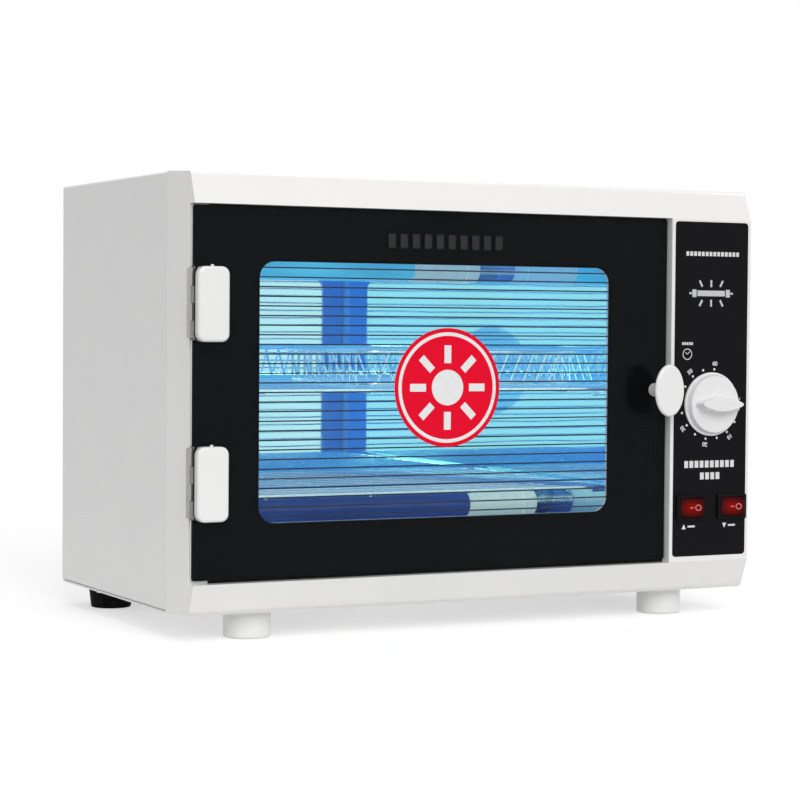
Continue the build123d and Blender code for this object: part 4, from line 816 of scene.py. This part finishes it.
for minute in range(NUMBER_STEP, LAST_MINUTE + NUMBER_STEP, NUMBER_STEP):
    dial_angle = ZERO_ANGLE + MINUTE_ANGLE * minute
    number_place = polar(dial_centre, DIAL_NUMBERS, dial_angle)
    panel_meshes.append(
        numeral(str(minute), NUMBER_HEIGHT, number_place, dial_angle - 90, panel_face, PRINT)
    )
tick_place = polar(dial_centre, DIAL_DOTS + TICK_OUT, ON_ANGLE)
panel_shapes.append(bar(tick_place, TICK_LENGTH, TICK_WIDTH, TICK_SLOPE))


def mark_row(x_range, z, height, count, gap=0.28):
    """Row of plain upright blocks; gap is the share of each step that stays empty."""
    step = (x_range[1] - x_range[0]) / count
    return [
        bar((x_range[0] + step * (i + 0.5), z), step * (1 - gap), height) for i in range(count)
    ]


# Small clock above the dial, with a short and a long hand.
clock = (136.9 * MM, 145.2 * MM)
CLOCK_OUTER, CLOCK_INNER = 3.4 * MM, 2.9 * MM
HAND_WIDTH = 0.45 * MM
# Each hand: its middle's offset from the clock's centre, its length and its angle in degrees.
CLOCK_HANDS = (
    (-0.7 * MM, 0.5 * MM, 2.0 * MM, 145),
    (0.7 * MM, 0.7 * MM, 2.4 * MM, 45),
)
panel_shapes.append((disc(clock, CLOCK_OUTER), disc(clock, CLOCK_INNER)))
for aside, above, hand_length, hand_angle in CLOCK_HANDS:
    hand_place = (clock[0] + aside, clock[1] + above)
    panel_shapes.append(bar(hand_place, hand_length, HAND_WIDTH, hand_angle))
# Rows of blocks: ends in x, height above the base, height of a block, number of blocks.
PANEL_ROWS = (
    ((132.8 * MM, 141.0 * MM), 151.6 * MM, 1.7 * MM, 5),  # above the clock
    ((135.1 * MM, 172.4 * MM), 78.6 * MM, 4.2 * MM, 10),  # under the dial
    ((146.6 * MM, 161.8 * MM), 71.4 * MM, 4.2 * MM, 4),  # below that row
    ((135.0 * MM, 174.2 * MM), 205.8 * MM, 2.6 * MM, 14),  # at the top of the panel
)
for row in PANEL_ROWS:
    panel_shapes += mark_row(*row)
panel_print = merged([relief(panel_shapes, panel_face, PRINT), *panel_meshes])
add_piece("panel_white_print", panel_print, ink_white, "cabinet")

# Lamp sign: a tube between two caps with rays above and below it.
lamp_sign = (153.7 * MM, 182.0 * MM)
SIGN_TUBE = (20 * MM, 3.4 * MM)
SIGN_CAP, SIGN_CAP_OUT = (3.0 * MM, 4.6 * MM), 12.2 * MM
SIGN_PIN, SIGN_PIN_OUT = (1.8 * MM, 1.2 * MM), 15.0 * MM
SIGN_RAY, SIGN_RAY_STEP, SIGN_RAY_OUT, SIGN_RAY_FAN = (4.2 * MM, 1.3 * MM), 7.5 * MM, 5.9 * MM, 28
sign_shapes = [bar(lamp_sign, *SIGN_TUBE)]
for side in (-1, 1):
    sign_shapes.append(bar((lamp_sign[0] + side * SIGN_CAP_OUT, lamp_sign[1]), *SIGN_CAP))
    sign_shapes.append(bar((lamp_sign[0] + side * SIGN_PIN_OUT, lamp_sign[1]), *SIGN_PIN))
    for i in (-1, 0, 1):
        ray_place = (lamp_sign[0] + i * SIGN_RAY_STEP, lamp_sign[1] + side * SIGN_RAY_OUT)
        sign_shapes.append(bar(ray_place, *SIGN_RAY, 90 - side * i * SIGN_RAY_FAN))
add_piece(
    "panel_lamp_sign", relief(sign_shapes, panel_face, PRINT), ink_silver, "cabinet"
)

# Arrow signs under the switches: up for the upper lamp and down for the lower lamp.
ARROW = 3.0 * MM
ARROW_ASIDE = 4.7 * MM  # how far left of the switch's middle the arrow stands
DASH_ASIDE = 0.7 * MM
SIGN_DROP = 4.0 * MM  # how far below the switch the sign is
DASH = (5.2 * MM, 1.1 * MM)
switch_signs = []
for node_name, direction in (("switch_housing_left", 1), ("switch_housing_right", -1)):
    low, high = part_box(node_name)
    switch_x, sign_z = (low.x + high.x) / 2, low.z - SIGN_DROP
    arrow_x = switch_x - ARROW_ASIDE
    tip = (arrow_x, sign_z + direction * ARROW / 2)
    foot_z = sign_z - direction * ARROW / 2
    triangle = [(arrow_x - ARROW / 2, foot_z), (arrow_x + ARROW / 2, foot_z), tip]
    switch_signs.append(triangle if direction > 0 else triangle[::-1])
    switch_signs.append(bar((switch_x + DASH_ASIDE, sign_z), *DASH))
add_piece(
    "switch_signs", relief(switch_signs, panel_face, PRINT), ink_white, "cabinet"
)

# ---- Symbols on the rockers ---------------------------------------------------------------
# A rocker's dished face, measured from its pivot: its middle, how much higher its ends are, half its length.
ROCKER_CREST, ROCKER_DISH, ROCKER_HALF = 2.9 * MM, 1.4 * MM, 8.1 * MM
ROCKER_TILT = -10  # degrees, the angle at which a rocker rests
ON_DASH, ON_DASH_X = (2.0 * MM, 0.7 * MM), 0.4 * MM
OFF_RING_OUTER, OFF_RING_INNER, OFF_RING_X, OFF_RING_POINTS = 1.9 * MM, 1.35 * MM, 4.4 * MM, 32
SYMBOL_SUNK, SYMBOL_DEPTH = 0.1 * MM, 0.25 * MM
ink_rose = printed("rocker_ink_rose", (0.75, 0.22, 0.2), 0.35)
for side in ("left", "right"):
    joint = next(j for j in frame["joints"] if j["name"] == f"rocker_{side}")
    pivot = Vector(joint["pos_m"])
    ring_centre = (OFF_RING_X, 0.0)
    symbols = [
        bar((ON_DASH_X, 0.0), *ON_DASH),
        (
            disc(ring_centre, OFF_RING_OUTER, OFF_RING_POINTS),
            disc(ring_centre, OFF_RING_INNER, OFF_RING_POINTS),
        ),
    ]
    mesh = relief(symbols, SYMBOL_SUNK, SYMBOL_DEPTH)
    for vertex in mesh.vertices:
        vertex.co.y -= ROCKER_CREST + ROCKER_DISH * (vertex.co.x / ROCKER_HALF) ** 2
    mesh.transform(Matrix.Translation(pivot) @ Matrix.Rotation(radians(ROCKER_TILT), 4, "Z"))
    add_piece(f"rocker_symbols_{side}", mesh, ink_rose, f"rocker_{side}")

# ---- Relief marks above the window -----------------------------------------------------------
MARKS_X, MARKS_Z, MARK_HEIGHT, MARK_COUNT, MARK_GAP = (-66 * MM, 11 * MM), 209 * MM, 8 * MM, 10, 0.42
MARK_DEPTH = 0.12 * MM
door_marks = relief(
    mark_row(MARKS_X, MARKS_Z, MARK_HEIGHT, MARK_COUNT, MARK_GAP), glass_low.y, MARK_DEPTH
)
add_piece(
    "door_relief_marks",
    door_marks,
    printed("relief_dark", (0.012, 0.012, 0.013), 0.4),
    "door",
)

# ---- Floor ------------------------------------------------------------------------------------
floor_mesh = bpy.data.meshes.new("floor")
FLOOR_REACH = 12.0
floor_z = bench_z - 0.02 * MM
floor_mesh.from_pydata(
    [(x * FLOOR_REACH, y * FLOOR_REACH, floor_z) for x, y in ((-1, -1), (1, -1), (1, 1), (-1, 1))],
    [],
    [(0, 1, 2, 3)],
)
floor = bpy.data.objects.new("floor", floor_mesh)
bpy.context.scene.collection.objects.link(floor)
NEAR_FLOOR, FAR_FLOOR = 0.26, 0.75  # the floor fades to the backdrop's white between these distances
floor_look = Look("floor_pale")
flat_place = floor_look.add(
    "ShaderNodeVectorMath", {0: floor_look.place, 1: (1.0, 1.0, 0.0)}, operation="MULTIPLY"
).outputs[0]
away = floor_look.add("ShaderNodeVectorMath", {0: flat_place}, operation="LENGTH").outputs["Value"]
far = floor_look.spread(away, 0.0, 1.0, NEAR_FLOOR, FAR_FLOOR)
lift = floor_look.spread(far, 0.5, 1.0, 0.0, 1.0)
diffuse_ray = floor_look.add("ShaderNodeLightPath").outputs["Is Diffuse Ray"]
# The floor's own white hardly lights the cabinet.
unlit = floor_look.spread(diffuse_ray, 1.0, 0.25, 0.0, 1.0)
floor_look.surface(
    {
        "Base Color": floor_look.blend(far, (0.62, 0.62, 0.62), (0.0, 0.0, 0.0)),
        "Roughness": floor_look.spread(floor_look.noise(0.2, 3.0), 0.6, 0.7),
        "Specular IOR Level": 0.0,
        "Emission Color": (1.0, 1.0, 1.0),
        "Emission Strength": floor_look.sum(lift, unlit, "MULTIPLY"),
    }
)
dress(floor, floor_look.material)

# ---- Light -----------------------------------------------------------------------------------
world = bpy.data.worlds.new("studio")
world.use_nodes = True
bpy.context.scene.world = world
backdrop = world.node_tree.nodes["Background"]
ROOM_LIGHT = 0.40  # what the matt surfaces receive from all round
SEEN_WHITE = 1.0  # what the camera and the mirrored surfaces see
light_path = world.node_tree.nodes.new("ShaderNodeLightPath")
room = world.node_tree.nodes.new("ShaderNodeMapRange")
room.inputs["To Min"].default_value = SEEN_WHITE
room.inputs["To Max"].default_value = ROOM_LIGHT
world.node_tree.links.new(light_path.outputs["Is Diffuse Ray"], room.inputs["Value"])
world.node_tree.links.new(room.outputs[0], backdrop.inputs["Strength"])
backdrop.inputs["Color"].default_value = (1.0, 1.0, 1.0, 1.0)

object_middle = (cad_low + cad_high) / 2


def softbox(name, place, size, power):
    """Square area light aimed at the middle of the cabinet."""
    data = bpy.data.lights.new(name, "AREA")
    data.shape = "SQUARE"
    data.size = size
    data.energy = power
    lamp = bpy.data.objects.new(name, data)
    lamp.location = place
    lamp.rotation_mode = "QUATERNION"
    lamp.rotation_quaternion = (object_middle - Vector(place)).to_track_quat("-Z", "Y")
    bpy.context.scene.collection.objects.link(lamp)


softbox("key_front", (-0.5, -2.3, 1.5), 1.6, 40)
softbox("fill_left", (-2.4, -0.2, 1.0), 1.6, 4.5)
softbox("fill_right", (2.3, -0.6, 1.4), 1.2, 9)
softbox("top", (0.2, 0.4, 2.4), 1.6, 11)

# ---- Camera ----------------------------------------------------------------------------------
CAMERA_PLACE = Vector((-0.6546, -1.2711, 0.1627))
YAW, PITCH, ROLL = radians(27.248), radians(-1.910), radians(0.4415)
LENS, SENSOR = 103.98, 36.0
look_along = Vector((sin(YAW) * cos(PITCH), cos(YAW) * cos(PITCH), sin(PITCH)))
level_right = Vector((cos(YAW), -sin(YAW), 0.0))
level_up = level_right.cross(look_along)
right = cos(ROLL) * level_right + sin(ROLL) * level_up
up = cos(ROLL) * level_up - sin(ROLL) * level_right
camera_data = bpy.data.cameras.new("camera")
camera_data.lens = LENS
camera_data.sensor_width = SENSOR
camera = bpy.data.objects.new("camera", camera_data)
camera_turn = Matrix((right, up, -look_along)).transposed().to_4x4()
camera.matrix_world = Matrix.Translation(CAMERA_PLACE) @ camera_turn
bpy.context.scene.collection.objects.link(camera)
bpy.context.scene.camera = camera
bpy.context.scene.view_settings.view_transform = "Standard"

bpy.context.view_layer.update()
